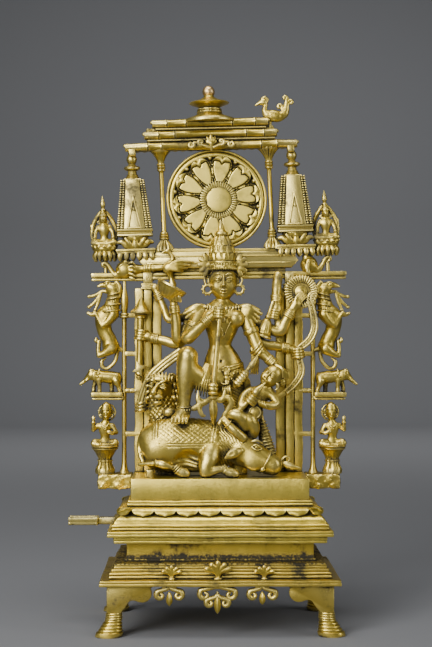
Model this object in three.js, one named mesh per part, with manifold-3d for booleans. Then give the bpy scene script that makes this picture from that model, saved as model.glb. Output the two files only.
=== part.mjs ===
// Brass group of a ten-armed goddess over the buffalo demon, with lion, on a spouted lotus plinth,
// in front of an openwork back frame with a lotus wheel, all carried by a stand on four feet.
// Millimetres, +Z up, the front faces -Y. It is laid out about the middle of the stand, floor at 0.
import * as THREE from "three";
import { mergeVertices } from "three/addons/utils/BufferGeometryUtils.js";
import Module from "manifold-3d";

const wasm = await Module();
wasm.setup();

// Stand: moulded slab on four legs
const standWidth = 230;
const standDepth = 147;
const legHeight = 49;
const slabThickness = 5.5;
const slabRollHeight = 6;
const slabRollInset = 8.5;
const standTierHeight = 8.3;
const standTierInset = 13;
const neckInset = 24.5;
const neckHeight = 19;
const postThickness = 13;
const postInset = 7;
const bracketReach = 45;
const bracketDrop = 17;
const bracketThickness = 4;
const footHeight = 17;
const collarHeight = 6;
const collarRadius = 7.7;
const footLength = 26;
const footBreadth = 19;
const palmetteHeight = 17;
const palmetteSpacing = 44;
const pendantDrop = 26;
const sidePendantDrop = 17;
const pendantThickness = 5;

// Plinth: lotus moulding, plain block and water spout
const plinthWidth = 216;
const plinthDepth = 132.6;
const plinthBandHeight = 6.5;
const plinthBandInset = 5.6;
const plinthSlabHeight = 5.6;
const plinthRollsHeight = 6.2;
const cymaHeight = 7.5;
const lotusHeight = 8;
const lotusSpacing = 21.7;
const beadHeight = 6;
const beadInset = 18;
const blockWidth = 172.8;
const blockDepth = 89.4;
const blockHeight = 20.4;
const spoutReach = 42;
const spoutWidth = 15;
const spoutHeight = 8;
const spoutNeckWidth = 10;
const spoutGroove = 3;

// Back frame: pilasters, lintel and wings
const seatGap = 0.3;
const frameFace = 20;
const frameThickness = 10;
const pilasterX = 72;
const pilasterWidth = 8;
const pilasterFlank = 9;
const pilasterHeight = 186;
const capitalHeight = 15;
const lintelHalf = 81;
const lintelHeight = 17;
const lintelRise = 4;
const lowerBeamHeight = 7;
const stripHeight = 3;
const crossArmHalf = 130;
const crossArmHeight = 8;
const wingX = 96;
const wingRadius = 2.4;
const wingBlockReach = 37;
const wingBlockHeight = 15.5;
const wingBlockDepth = 30;
const linkHeight = 5;
const linkThickness = 4;
const shelfReach = 31;
const shelfHeight = 8;
const shelfDepth = 13;
const shelfLevel = 73;
const elephantHeight = 25;
const yaliHeight = 91;
const seatedHeight = 45;
const pedestalHeight = 27;
const pedestalFromPost = 19.2;

// Upper works of the frame, which have sunk to one side
const leanDegrees = 2.7;
const tipDegrees = 1.6;
const leanPivot = 167;
const towerX = 81.5;
const towerHeight = 51;
const towerWidth = 36.4;
const towerTopWidth = 23.4;
const towerDepth = 22;
const platformWidth = 40.5;
const platformHeight = 4.7;
const bowlHeight = 20;
const wheelRadius = 51.3;
const wheelThickness = 7;
const wheelX = 3;
const petalCount = 10;
const wheelTurn = 0.13;
const colonetteSpread = 55;
const colonetteRadius = 2.3;
const roofRise = 103.5;
const bambooRadius = 4;
const roofHalf = 87;
const roofStep = 11.5;
const roofDepth = 24;
const finialHeight = 36;
const pinnacleX = 113;
const pinnacleHeight = 81;
const makaraHeight = 24;
const birdHeight = 27;
const peacockHeight = 37;

// Figure group
const figureHeight = 254;

// Thinning of the joined meshes
const seamTolerance = 0.3;
const smallestFace = 0.001;
const leastFacing = 0.5;
const thinningPasses = 4;

const brass = new THREE.MeshStandardMaterial({ color: 0xb39a4e, roughness: 0.38, metalness: 1 });
const palerBrass = new THREE.MeshStandardMaterial({ color: 0xbfa95c, roughness: 0.4, metalness: 1 });
const darkerBrass = new THREE.MeshStandardMaterial({ color: 0x9c8745, roughness: 0.45, metalness: 1 });

const vec = (p) => new THREE.Vector3(...p);
const mid = (a, b) => (a + b) / 2;

// A geometry with shared corners and no collapsed triangles
function tidied(geometry) {
  const g = geometry.clone();
  for (const name of Object.keys(g.attributes)) if (name !== "position") g.deleteAttribute(name);
  const merged = mergeVertices(g, 1e-4);
  const kept = [];
  const index = merged.index.array;
  for (let i = 0; i < index.length; i += 3) {
    const [a, b, c] = index.slice(i, i + 3);
    if (a !== b && b !== c && c !== a) kept.push(a, b, c);
  }
  merged.setIndex(kept);
  return merged;
}

function moved(forms, x, y, z) {
  return forms.map((g) => g.clone().translate(x, y, z));
}

function scaled(forms, s) {
  return forms.map((g) => g.clone().scale(s, s, s));
}

function mirrored(forms) {
  return forms.map((g) => {
    const m = g.clone().scale(-1, 1, 1);
    const index = [...m.index.array];
    for (let i = 0; i < index.length; i += 3) [index[i], index[i + 1]] = [index[i + 1], index[i]];
    m.setIndex(index);
    return m;
  });
}

const bothSides = (forms) => [...forms, ...mirrored(forms)];

function joined(forms) {
  return forms.map(toSolid).reduce((all, one) => all.add(one));
}

function toSolid(g) {
  const vertProperties = new Float32Array(g.attributes.position.array);
  const triVerts = new Uint32Array(g.index.array);
  return new wasm.Manifold(new wasm.Mesh({ numProp: 3, vertProperties, triVerts }));
}

// Joining leaves needless corners along the seams. Each is drawn to its nearest neighbour where the faces
// round it then stay within a tolerance of where they were, none turns over and the body stays closed.
function thinned(solid) {
  const mesh = solid.getMesh();
  const points = [];
  for (let i = 0; i < mesh.numVert; i++) points.push(vec(mesh.vertProperties.slice(3 * i, 3 * i + 3)));
  const facesAt = points.map(() => new Set());
  for (let i = 0; i < mesh.triVerts.length; i += 3) {
    const face = { corners: [...mesh.triVerts.slice(i, i + 3)] };
    for (const corner of face.corners) facesAt[corner].add(face);
  }
  const swapped = (face, from, to) => face.corners.map((corner) => (corner === from ? to : corner));
  const normal = (corners) => {
    const [a, b, c] = corners.map((corner) => points[corner]);
    return b.clone().sub(a).cross(c.clone().sub(a));
  };
  const neighbours = (from) => {
    const around = new Set([...facesAt[from]].flatMap((face) => face.corners));
    around.delete(from);
    return around;
  };
  const mayMove = (from, to) => {
    const beside = neighbours(to);
    if ([...neighbours(from)].filter((corner) => beside.has(corner)).length !== 2) return false;
    const step = points[to].clone().sub(points[from]);
    return [...facesAt[from]].every((face) => {
      const before = normal(face.corners);
      if (before.length() > 0 && Math.abs(before.dot(step)) > seamTolerance
        * before.length()) return false;
      if (face.corners.includes(to)) return true;
      const after = normal(swapped(face, from, to));
      return after.length() > smallestFace && after.dot(before) > leastFacing
        * after.length() * before.length();
    });
  };
  const move = (from, to) => {
    for (const face of [...facesAt[from]]) {
      if (face.corners.includes(to)) for (const corner of face.corners) facesAt[corner].delete(face);
      else facesAt[to].add(Object.assign(face, { corners: swapped(face, from, to) }));
    }
    facesAt[from].clear();
  };
  for (let pass = 0; pass < thinningPasses; pass++) {
    for (let from = 0; from < points.length; from++) {
      const distance = (corner) => points[corner].distanceTo(points[from]);
      const nearestFirst = [...neighbours(from)].sort((a, b) => distance(a) - distance(b));
      const to = nearestFirst.find((corner) => mayMove(from, corner));
      if (to !== undefined) move(from, to);
    }
  }
  const faces = new Set(facesAt.flatMap((set) => [...set]));
  const triVerts = new Uint32Array([...faces].flatMap((face) => face.corners));
  return new wasm.Manifold(new wasm.Mesh({ numProp: 3, vertProperties: mesh.vertProperties, triVerts }));
}

function named(name, solid, material) {
  const m = thinned(solid).getMesh();
  const g = new THREE.BufferGeometry();
  g.setAttribute("position", new THREE.BufferAttribute(m.vertProperties, 3));
  g.setIndex(new THREE.BufferAttribute(m.triVerts, 1));
  g.computeVertexNormals();
  const piece = new THREE.Mesh(g, material);
  piece.name = name;
  return piece;
}

function box(x0, x1, y0, y1, z0, z1) {
  const g = new THREE.BoxGeometry(x1 - x0, y1 - y0, z1 - z0);
  return tidied(g.translate(mid(x0, x1), mid(y0, y1), mid(z0, z1)));
}

// An ellipsoid with its poles up and down
function ball(p, rx, ry = rx, rz = rx, sides = 6) {
  const g = new THREE.SphereGeometry(1, sides, Math.max(3, sides - 2)).rotateX(Math.PI / 2);
  return tidied(g.scale(rx, ry, rz).translate(...p));
}

// An eight-faced bud between two points: the cheapest petal, leaf, bead or feather
function bud(from, to, width, thickness) {
  const a = vec(from);
  const b = vec(to);
  const along = b.clone().sub(a);
  const depth = new THREE.Vector3(0, 1, 0);
  const side = along.clone().cross(depth).normalize();
  depth.crossVectors(side, along).normalize();
  const g = new THREE.OctahedronGeometry(1);
  const frame = new THREE.Matrix4().makeBasis(
    side.multiplyScalar(width / 2),
    along.clone().multiplyScalar(0.5),
    depth.multiplyScalar(-thickness / 2),
  );
  if (frame.determinant() < 0) frame.multiply(new THREE.Matrix4().makeScale(1, 1, -1));
  g.applyMatrix4(frame);
  return tidied(g.translate(...a.add(b).multiplyScalar(0.5).toArray()));
}

// An outline in the XZ plane, cut from plate between two depths
function plate(outline, y0, y1) {
  const shape = new THREE.Shape(outline.map(([x, z]) => new THREE.Vector2(x, z)));
  const g = new THREE.ExtrudeGeometry(shape, { depth: y1 - y0, bevelEnabled: false });
  return tidied(g.rotateX(Math.PI / 2).translate(0, y1, 0));
}

// A turned piece standing at a point, from [radius, height] pairs
function turned(p, profile, sides = 8) {
  const points = profile.map(([r, z]) => new THREE.Vector2(r, z));
  points.unshift(new THREE.Vector2(0, profile[0][1]));
  points.push(new THREE.Vector2(0, profile[profile.length - 1][1]));
  const g = new THREE.LatheGeometry(points, sides).rotateX(Math.PI / 2);
  return tidied(g.rotateZ(Math.PI / sides).translate(...p));
}

// A tapering round or flattened rod along a smooth curve through points
function sweep(points, radii, { sides = 6, fine = 1, squash = 1, axis = [0, 1, 0] } = {}) {
  const path = points.map(vec);
  const rings = (points.length - 1) * fine;
  const curve = new THREE.CatmullRomCurve3(path, false, "centripetal");
  const radiusAt = (t) => {
    if (typeof radii === "number") return radii;
    const place = t * (radii.length - 1);
    const low = Math.min(Math.floor(place), radii.length - 2);
    return THREE.MathUtils.lerp(radii[low], radii[low + 1], place - low);
  };
  const position = [];
  for (let i = 0; i <= rings; i++) {
    const t = i / rings;
    const centre = curve.getPoint(t);
    const along = curve.getTangent(t);
    const depth = vec(axis).addScaledVector(along, -along.dot(vec(axis))).normalize();
    const side = new THREE.Vector3().crossVectors(depth, along);
    for (let j = 0; j < sides; j++) {
      const angle = ((j + 0.5) / sides) * 2 * Math.PI;
      const p = centre.clone().addScaledVector(side, Math.cos(angle) * radiusAt(t));
      p.addScaledVector(depth, Math.sin(angle) * radiusAt(t) * squash);
      position.push(...p);
    }
  }
  const first = position.length / 3;
  position.push(...path[0], ...path[path.length - 1]);
  const index = [];
  for (let j = 0; j < sides; j++) {
    const next = (j + 1) % sides;
    for (let i = 0; i < rings; i++) {
      const a = i * sides + j;
      const b = i * sides + next;
      index.push(a, b, b + sides, a, b + sides, a + sides);
    }
    index.push(first, next, j, first + 1, rings * sides + j, rings * sides + next);
  }
  const g = new THREE.BufferGeometry();
  g.setAttribute("position", new THREE.Float32BufferAttribute(position, 3));
  g.setIndex(index);
  return tidied(g);
}

// A body built from level rings, each [x, y, z, half width, half depth]
function lofted(levels, sides = 6) {
  const position = [];
  for (const [x, y, z, rx, ry] of levels) {
    for (let j = 0; j < sides; j++) {
      const angle = ((j + 0.5) / sides) * 2 * Math.PI;
      position.push(x + rx * Math.cos(angle), y + ry * Math.sin(angle), z);
    }
  }
  const index = [];
  const last = (levels.length - 1) * sides;
  for (let j = 0; j < sides; j++) {
    const next = (j + 1) % sides;
    for (let i = 0; i + 1 < levels.length; i++) {
      const a = i * sides + j;
      const b = i * sides + next;
      index.push(a, b, b + sides, a, b + sides, a + sides);
    }
    if (j > 0 && j + 1 < sides) index.push(0, next, j, last, last + j, last + next);
  }
  const g = new THREE.BufferGeometry();
  g.setAttribute("position", new THREE.Float32BufferAttribute(position, 3));
  g.setIndex(index);
  return tidied(g);
}

// A four-sided moulding: courses of [height, bottom inset, top inset] stacked on a rectangle
function moulding(width, depth, bottom, courses) {
  const levels = [];
  let z = bottom;
  for (const [height, lowInset, highInset] of courses) {
    levels.push([z, lowInset], [(z += height), highInset]);
  }
  const position = [];
  const index = [];
  const corners = [[-1, -1], [1, -1], [1, 1], [-1, 1]];
  const rings = levels.filter(
    (level, i) => i === 0 || level[0] !== levels[i - 1][0] || level[1] !== levels[i - 1][1],
  );
  for (const [level, inset] of rings) {
    for (const [sx, sy] of corners) {
      position.push(sx * (width / 2 - inset), sy * (depth / 2 - inset), level);
    }
  }
  for (let i = 0; i + 1 < rings.length; i++) {
    for (let j = 0; j < 4; j++) {
      const a = i * 4 + j;
      const b = i * 4 + ((j + 1) % 4);
      index.push(a, b, b + 4, a, b + 4, a + 4);
    }
  }
  const top = (rings.length - 1) * 4;
  index.push(0, 2, 1, 0, 3, 2, top, top + 1, top + 2, top, top + 2, top + 3);
  const g = new THREE.BufferGeometry();
  g.setAttribute("position", new THREE.Float32BufferAttribute(position, 3));
  g.setIndex(index);
  return tidied(g);
}

// Levels that the pieces share
const slabTop = legHeight + slabThickness;
const neckTop = slabTop + slabRollHeight + standTierHeight + neckHeight;
const lotusLevel = neckTop + plinthBandHeight + plinthSlabHeight + plinthRollsHeight + cymaHeight;
const blockLevel = lotusLevel + lotusHeight + beadHeight;
const blockTop = blockLevel + blockHeight;
const frameBack = frameFace + frameThickness;
const frameMid = mid(frameFace, frameBack);
const capitalTop = pilasterHeight + capitalHeight;
const lowerBeamLevel = capitalTop + 2 - lowerBeamHeight;
const crossArmTop = lowerBeamLevel - 1 + crossArmHeight;
const lintelBottom = lowerBeamLevel + lowerBeamHeight + lintelRise;
const lintelTop = lintelBottom + lintelHeight;
const towerLevel = lintelTop + platformHeight + bowlHeight;
const wheelLevel = lintelTop + stripHeight + wheelRadius - 1;
const roofLevel = lintelTop + roofRise + bambooRadius;

// Stand
function leg() {
  const outX = standWidth / 2 - postInset;
  const outY = standDepth / 2 - postInset;
  const collarZ = footHeight + collarHeight;
  const outline = (out) => [
    [-out, legHeight],
    [-out, collarZ],
    [-out + postThickness, collarZ],
    [-out + 0.5 * bracketReach, legHeight - bracketDrop + 1],
    [-out + 0.73 * bracketReach, legHeight - bracketDrop],
    [-out + 0.86 * bracketReach, legHeight - 0.6 * bracketDrop],
    [-out + bracketReach, legHeight],
  ];
  const front = plate(outline(outX), -outY, -outY + bracketThickness);
  const side = plate(outline(outY), -outX, -outX + bracketThickness);
  side.rotateZ(-Math.PI / 2).scale(1, -1, 1);
  const turnedSide = mirrored([side.scale(-1, 1, 1)]);
  const cx = -outX + postThickness / 2;
  const cy = -outY + postThickness / 2;
  const post = box(-outX, -outX + postThickness, -outY, -outY + postThickness, collarZ, legHeight);
  const outward = (footLength / 2 - collarRadius) * 0.95;
  const stack = [[0, 1, 1], [0.28, 1, 1], [0.34, 0.84, 0.9], [0.64, 0.8, 0.86],
    [1, 0.56, 0.76]].map(([share, along, across]) => [
    cx - outward * (1 - share),
    cy - outward * 0.3 * (1 - share),
    footHeight * share,
    (footLength / 2) * along,
    (footBreadth / 2) * across,
  ]);
  const rings = [[0.3, 1.08], [1.2, 0.96]].map(([share, wide]) => [
    cx, cy, footHeight + collarHeight * share, collarRadius * wide, collarRadius * wide,
  ]);
  const foot = lofted([...stack, ...rings], 5);
  return [front, ...turnedSide, post, foot];
}

const frontLegs = bothSides(leg());
const turnedBack = (forms) => forms.map((g) => g.clone().rotateZ(Math.PI));

function palmette(x, height) {
  const face = -standDepth / 2 + slabRollInset;
  const lobes = [-58, 0, 58].map((degrees) => {
    const angle = THREE.MathUtils.degToRad(degrees);
    const reach = height * (1 - Math.abs(degrees) / 200);
    const tip = [x + reach * 0.85 * Math.sin(angle), face + 1, slabTop + reach * Math.cos(angle)];
    return bud([x, face, slabTop - 1], tip, height * 0.42, 7);
  });
  return lobes;
}

function pendant(x, drop, pairs) {
  const y = -standDepth / 2 + pendantThickness;
  const forms = [bud([x, y, legHeight + 3], [x, y, legHeight - drop], drop * 0.26, pendantThickness)];
  for (let i = 0; i < pairs; i++) {
    const reach = drop * (pairs === 1 ? 0.55 : 0.62 - 0.3 * i);
    const z = legHeight - drop * (0.22 + 0.22 * i);
    const scroll = sweep(
      [[0.08 * reach, y, legHeight + 1], [0.55 * reach, y, z - 0.12 * drop], [reach, y, z],
        [0.7 * reach, y, z + 0.1 * drop]],
      [1.8, 2, 2, 1.7],
      { sides: 3, squash: 1.4 },
    );
    forms.push(...moved(bothSides([scroll]), x, 0, 0));
  }
  return forms;
}

const standCourses = [
  [slabThickness, 0, 0],
  [slabRollHeight * 0.35, slabRollInset + 1.6, slabRollInset],
  [slabRollHeight * 0.65, slabRollInset, slabRollInset + 1.6],
  [standTierHeight * 0.36, slabRollInset + 2.5, slabRollInset + 2.5],
  [standTierHeight * 0.64, standTierInset, standTierInset],
  [neckHeight * 0.16, neckInset - 2, neckInset - 2],
  [neckHeight * 0.84, neckInset, neckInset],
];
const stand = named(
  "stand",
  joined([
    moulding(standWidth, standDepth, legHeight, standCourses),
    ...frontLegs,
    ...turnedBack(frontLegs),
    ...palmette(-palmetteSpacing - 2.5, palmetteHeight * 0.75),
    ...palmette(-2.5, palmetteHeight),
    ...palmette(palmetteSpacing - 2.5, palmetteHeight * 0.75),
    ...pendant(-palmetteSpacing - 2.5, sidePendantDrop, 1),
    ...pendant(-2.5, pendantDrop, 2),
    ...pendant(palmetteSpacing - 2.5, sidePendantDrop, 1),
  ]),
  darkerBrass,
);

// Plinth
function lotusRow() {
  const halfX = plinthWidth / 2 - 11;
  const halfY = plinthDepth / 2 - 11;
  const petals = [];
  const petal = (x, y, outX, outY, width) => {
    const leaf = new THREE.OctahedronGeometry(1).scale(width / 2, 7, 3.6).rotateX(0.62);
    leaf.rotateZ(Math.atan2(outX, -outY));
    petals.push(tidied(leaf.translate(x, y, lotusLevel + lotusHeight * 0.45)));
  };
  for (const s of [-1, 1]) {
    const across = Math.floor((2 * halfX) / lotusSpacing);
    for (let i = 0; i < across; i++) {
      petal((i - (across - 1) / 2) * lotusSpacing, s * halfY, 0, s, lotusSpacing);
    }
    const deep = Math.floor((2 * halfY) / lotusSpacing);
    for (let i = 0; i < deep; i++) {
      petal(s * halfX, (i - (deep - 1) / 2) * lotusSpacing, s, 0, lotusSpacing);
    }
    petal(s * (halfX + 1), halfY + 1, s * 0.7, 0.7, lotusSpacing * 0.8);
    petal(s * (halfX + 1), -halfY - 1, s * 0.7, -0.7, lotusSpacing * 0.8);
  }
  return petals;
}

const plinthCourses = [
  [plinthBandHeight * 0.3, plinthBandInset + 2, plinthBandInset],
  [plinthBandHeight * 0.7, plinthBandInset, plinthBandInset],
  [plinthSlabHeight, 0, 0],
  [plinthRollsHeight / 2, 4, 4.8],
  [plinthRollsHeight / 2, 3.6, 4.8],
  [cymaHeight, 6, 12],
  [lotusHeight, 12, beadInset + 2],
  [beadHeight / 2, beadInset, beadInset],
  [beadHeight / 2, beadInset + 1.2, beadInset + 1.2],
];
const spoutLevel = neckTop + plinthBandHeight + 4;
const spoutFrom = plinthWidth / 2;
const spout = [
  box(-spoutFrom - 14, 8 - spoutFrom, -spoutNeckWidth / 2, spoutNeckWidth / 2, spoutLevel + 1,
    spoutLevel + spoutHeight - 1),
  box(-spoutFrom - spoutReach, -spoutFrom - 12, -spoutWidth / 2, spoutWidth / 2, spoutLevel,
    spoutLevel + spoutHeight),
];
const grooveHalf = spoutWidth / 2 - spoutGroove;
const groove = box(
  -spoutFrom - spoutReach - 1, -spoutFrom - 13,
  -grooveHalf, grooveHalf,
  spoutLevel + spoutHeight - spoutGroove, spoutLevel + spoutHeight + 1,
);
const plinth = named(
  "plinth",
  joined([
    moulding(plinthWidth, plinthDepth, neckTop, plinthCourses),
    ...lotusRow(),
    box(-blockWidth / 2, blockWidth / 2, -blockDepth / 2, blockDepth / 2, blockLevel - 1, blockTop),
    ...spout,
  ]).subtract(toSolid(groove)),
  brass,
);

// Back frame: heights here are counted from the top of the block
function pilaster() {
  const inner = pilasterX - pilasterWidth / 2;
  const outer = pilasterX + pilasterWidth / 2;
  const flankFace = frameFace + 3;
  return [
    box(inner, outer, frameFace, frameBack, 0, pilasterHeight + 2),
    box(inner - pilasterFlank, inner + 1, flankFace, frameBack, 0, pilasterHeight + 2),
    box(outer - 1, outer + pilasterFlank, flankFace, frameBack, 0, pilasterHeight + 2),
    box(inner - 2.5, outer + 2.5, frameFace - 2, frameBack + 1, pilasterHeight, pilasterHeight + 5),
    box(inner - 0.5, outer + 0.5, frameFace - 1, frameBack, pilasterHeight + 4, capitalTop + 2),
  ];
}

function lintel() {
  const end = lintelHalf - 7;
  const low = lintelBottom;
  const high = lintelBottom + lintelHeight;
  const beam = [[-end, low], [end, low], [lintelHalf, mid(low, high) - 1], [end, high], [-end, high]];
  beam.push([-lintelHalf, mid(low, high) - 1]);
  const coreHalf = pilasterX - pilasterWidth / 2;
  return [
    plate(beam, frameFace - 1, frameBack),
    box(-coreHalf, coreHalf, frameFace + 4, frameBack - 0.5, capitalTop - 4, high),
    box(-coreHalf, coreHalf, frameFace, frameBack - 1, lowerBeamLevel, lowerBeamLevel + lowerBeamHeight),
    box(-end, end, frameFace + 1, frameBack + 1, high - 1, high + stripHeight),
  ];
}

function crossArm() {
  const from = pilasterX - pilasterWidth / 2;
  const low = lowerBeamLevel - 1;
  const strip = crossArmHeight * 0.42;
  const high = low + crossArmHeight;
  const end = crossArmHalf;
  return [plate([
    [from, low], [end, low], [end, low + strip], [end - 2, mid(low, high)], [end, high - strip],
      [end, high], [from, high],
  ], frameFace + 1, frameBack - 1)];
}

function wingPost() {
  const r = wingRadius;
  const top = lowerBeamLevel;
  const ring = top - 35;
  const profile = [
    [r * 2.2, -1], [r * 1.1, 8], [r * 1.1, ring], [r * 2.1, ring + 0.6], [r * 2.1, ring + 4],
      [r * 1.4, ring + 5],
    [r * 2, ring + 16], [r, ring + 32], [r * 0.9, top + 3],
  ];
  return [lofted(profile.map(([radius, z]) => [wingX, frameMid, z, radius, radius]), 4)];
}

function link(level) {
  const half = linkThickness / 2;
  return box(pilasterX + pilasterWidth / 2, wingX, frameMid - half, frameMid + half, level,
    level + linkHeight);
}

function wingBlock() {
  const inner = blockWidth / 2 + seatGap;
  const front = frameMid + 8 - wingBlockDepth;
  return [box(inner, inner + wingBlockReach - 2, front, front + wingBlockDepth, -wingBlockHeight, -0.5)];
}

function shelf() {
  const half = shelfDepth / 2;
  const reach = wingX + shelfReach + 3;
  const top = shelfLevel + shelfHeight;
  const waist = (share) => shelfLevel + shelfHeight * share;
  return [plate([
    [wingX, shelfLevel], [reach, shelfLevel], [reach, waist(0.3)], [reach - 1.5, waist(0.4)],
      [reach, waist(0.5)],
    [reach, top], [wingX, top],
  ], frameMid - half, frameMid + half)];
}

// Heights at which the small figures are drawn, before each is scaled to its own
const drawnElephant = 25;
const drawnYali = 91;
const drawnSeated = 45;
const drawnPinnacle = 81;
const drawnMakara = 24;
const drawnBird = 27;
const drawnPeacock = 37;

// An elephant walking outwards, feet at 0
function elephant() {
  const spine = [[3.5, 0, 13], [9, 0, 16], [26, 0, 16.5], [34, 0, 19], [38.6, 0, 15], [42.4, 0, 10.4],
    [45.4, 0, 13]];
  return [
    sweep(spine, [3, 7.6, 8, 6.6, 3.4, 2.1, 1.2], { sides: 4, squash: 0.9 }),
    bud([31, 0, 23.5], [32.5, 0, 11], 7, 15),
    ...[8, 24.5].map((x) => lofted([[x, 0, 0, 4.4, 7], [x, 0, 13, 4.8, 7]], 4)),
  ];
}

// A lion rearing outwards on its curled tail, streamers falling from its mouth
function yali() {
  const thin = { sides: 3 };
  const spine = [
    [12, 0, 17], [15.5, 0, 26], [20, 0, 45], [15, 0, 60], [11, 0, 72], [11, 0, 83], [19, 0, 87],
      [27, 0, 84],
  ];
  return [
    sweep(spine, [4, 9, 8.4, 10, 7.4, 7.4, 5, 2], { sides: 4, squash: 0.76 }),
    sweep([[13, 0, 80], [24.5, 0, 77]], [3.5, 1.2], thin),
    sweep([[12, 0, 57], [22, 0, 45.5], [29, 0, 57], [37.5, 0, 56]], [5, 4, 2.8, 2.4], thin),
    sweep([[16, 0, 26], [29, 0, 31], [26, 0, 14], [17, 0, 11]], [6, 4.4, 3, 2.6], thin),
    sweep([[1.5, 0, 25], [7.5, 0, 11], [13, 0, 1.5], [22, 0, 4], [22, 0, 12]], [2.8, 2.6, 2.6, 2.4, 2],
      thin),
    ...[[36.6, 0, 74], [33, 0, 60]].map((to) => sweep([[23, 0, 80], to], [1.6, 2.4], thin)),
  ];
}

// A seated attendant with a round halo and the outward hand raised
function attendant() {
  const thin = { sides: 3 };
  const trunk = [
    [0, 0, -0.5, 7, 6], [0, 0, 12, 4.4, 3.6], [0.5, 0, 20, 7.6, 4.2], [0, 0, 25, 2.8, 2.6],
      [0, -1, 33, 5.6, 5],
    [0, -1, 38.5, 5.6, 5], [0, -1, 46, 1.6, 1.6],
  ];
  return [
    lofted(trunk, 5),
    bud([-14, -3, 6], [14, -3, 6], 8, 13),
    sweep([[5, 0, 21], [12.5, -1, 17], [12, -3, 29]], [2.6, 2.6, 1.8], thin),
    sweep([[-5, 0, 21], [-12, -1, 15.4], [-4.4, -4, 15.2]], [2.6, 2.6, 2], thin),
    turned([0, 0, 0], [[9.2, 0], [9.2, 2.6]], 6).rotateX(-Math.PI / 2).translate(-2.4, 3, 34.5),
  ];
}

function pedestal() {
  const half = [[0, 10.4], [8, 7], [17, 7], [26, 14], [27.5, 14]];
  return [lofted(half.map(([z, r]) => [0, 0, z, r * 1.04, r * 0.88]), 5)];
}

// A seated goddess under a pointed leaf arch, counted from the foot of her stem
function pinnacle() {
  const arch = [[-11, 34], [-11.6, 52], [0, 69], [11.6, 52], [11, 34], [8, 34], [8, 51], [0, 62],
    [-8, 51], [-8, 34]];
  const stem = [
    [0, 0, -2, 2.2, 2.2], [0, 0, 14, 2.2, 2.2], [0, 0, 28, 13, 10], [0, 0, 32, 12, 9], [0, 0, 37, 5, 4.4],
    [0, 0, 48, 7.6, 4.6], [0, -1, 52.6, 3.4, 3.4], [0, -1, 59, 5.4, 5], [0, 0, 72, 3.6, 3.6],
      [0, 0, 81, 0.6, 0.6],
  ];
  return [
    lofted(stem, 4),
    ...[-8, 0, 8].map((x) => bud([x * 0.8, 0, 30], [x * 1.2, -3, 14.6], 7, 6)),
    bud([-14, -1, 35], [14, -1, 35], 8, 9),
    ...bothSides([bud([4, 0, 50], [11, -2, 35], 6, 5)]),
    plate(arch, 1.5, 4.5),
  ];
}

// An elephant-headed beast with raised trunk, counted from the level of the cross arm
function makara() {
  const spine = [[-40, -4, 10], [-22, -1, 9.6], [-8, 0, 8], [1, 0, 7], [8.5, 0, 3.5], [13, 0, 10],
    [14.5, 0, 15.5], [18.5, 0, 17.5]];
  return [
    sweep(spine, [3.4, 4.2, 7, 8, 3.2, 2.2, 1.9, 1.6], { sides: 4 }),
    bud([-7, -3, 16], [-14, -4, 0], 8, 8),
    bud([-3, 0, 19], [-2, 0, 8], 8, 7),
  ];
}

// A goose with a curved neck, its wing spread inwards
function goose() {
  const spine = [[4, 0, -5], [0, 0, 6], [0, 0, 13], [5, 0, 18], [4.4, 0, 24], [0.5, 0, 28], [-5, 0, 26]];
  return [sweep(spine, [2, 5, 5.6, 2.4, 2, 2.4, 0.9], { sides: 4 }),
    bud([-2, -2, 11], [27, -2, 15], 11, 5)];
}

function tower() {
  const half = towerWidth / 2;
  const topHalf = towerTopWidth / 2;
  const deep = towerDepth / 2;
  const slabLow = towerLevel - bowlHeight - platformHeight;
  const ring = towerLevel + towerHeight;
  const body = lofted([
    [0, 0, towerLevel - 7.2, half * 1.42, deep * 1.42],
    [0, 0, towerLevel, half * 1.42, deep * 1.42],
    [0, 0, towerLevel, half * 1.28, deep * 1.28],
    [0, 0, ring, topHalf * 1.28, topHalf * 1.2],
  ], 4);
  const gable = plate([[-half * 0.38, towerLevel], [half * 0.38, towerLevel],
    [0, towerLevel + towerHeight * 0.57]],
    -deep - 1.8, 0);
  const cap = lofted([
    [6, ring - 1], [6, ring + 4], [4, ring + 9], [8.4, ring + 13], [3.8, ring + 16.5], [5, ring + 21],
      [3, ring + 29],
  ].map(([r, z]) => [0, 0, z, r, r]), 4);
  const bowl = lofted([
    [0, 0, slabLow + platformHeight - 1, 6, 5.6], [0, 0, slabLow + platformHeight + 4, 6, 5.6],
      [0, 0, towerLevel - 6, 20, 14],
  ], 4);
  const wide = platformWidth / 2;
  const drops = [-0.55, 0, 0.55].map((share) =>
    bud([wide * share, -6, slabLow + 2], [wide * share, -6, slabLow - 8.5], 9, 5));
  return [body, gable, cap, bowl, box(-wide, wide, -9, 9, slabLow, slabLow + platformHeight), ...drops];
}

function colonette(x) {
  const r = colonetteRadius;
  const low = lintelTop + stripHeight - 1;
  const high = roofLevel - bambooRadius + 1;
  const profile = [
    [r * 3.8, low], [r * 1.5, low + 11], [r * 2.1, low + 16], [r, low + 21],
    [r, high - 21], [r * 2, high - 17], [r * 1.4, high - 12], [r * 3.5, high - 1],
  ];
  return [lofted(profile.map(([radius, z]) => [x, 0, z, radius * 1.1, radius * 1.1]), 4)];
}

// A bamboo pole with raised joints at given shares of its half length
function bamboo(half, y, z, joints) {
  const xs = [-half];
  const rs = [bambooRadius * 0.92];
  for (const share of joints) {
    xs.push(half * share - 1.6, half * share, half * share + 1.6);
    rs.push(bambooRadius * 0.86, bambooRadius * 1.12, bambooRadius * 0.86);
  }
  xs.push(half);
  rs.push(bambooRadius * 0.92);
  return lofted(xs.map((x, i) => [0, 0, x, rs[i], rs[i]]), 4).rotateY(Math.PI / 2).translate(0, y, z);
}

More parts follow.
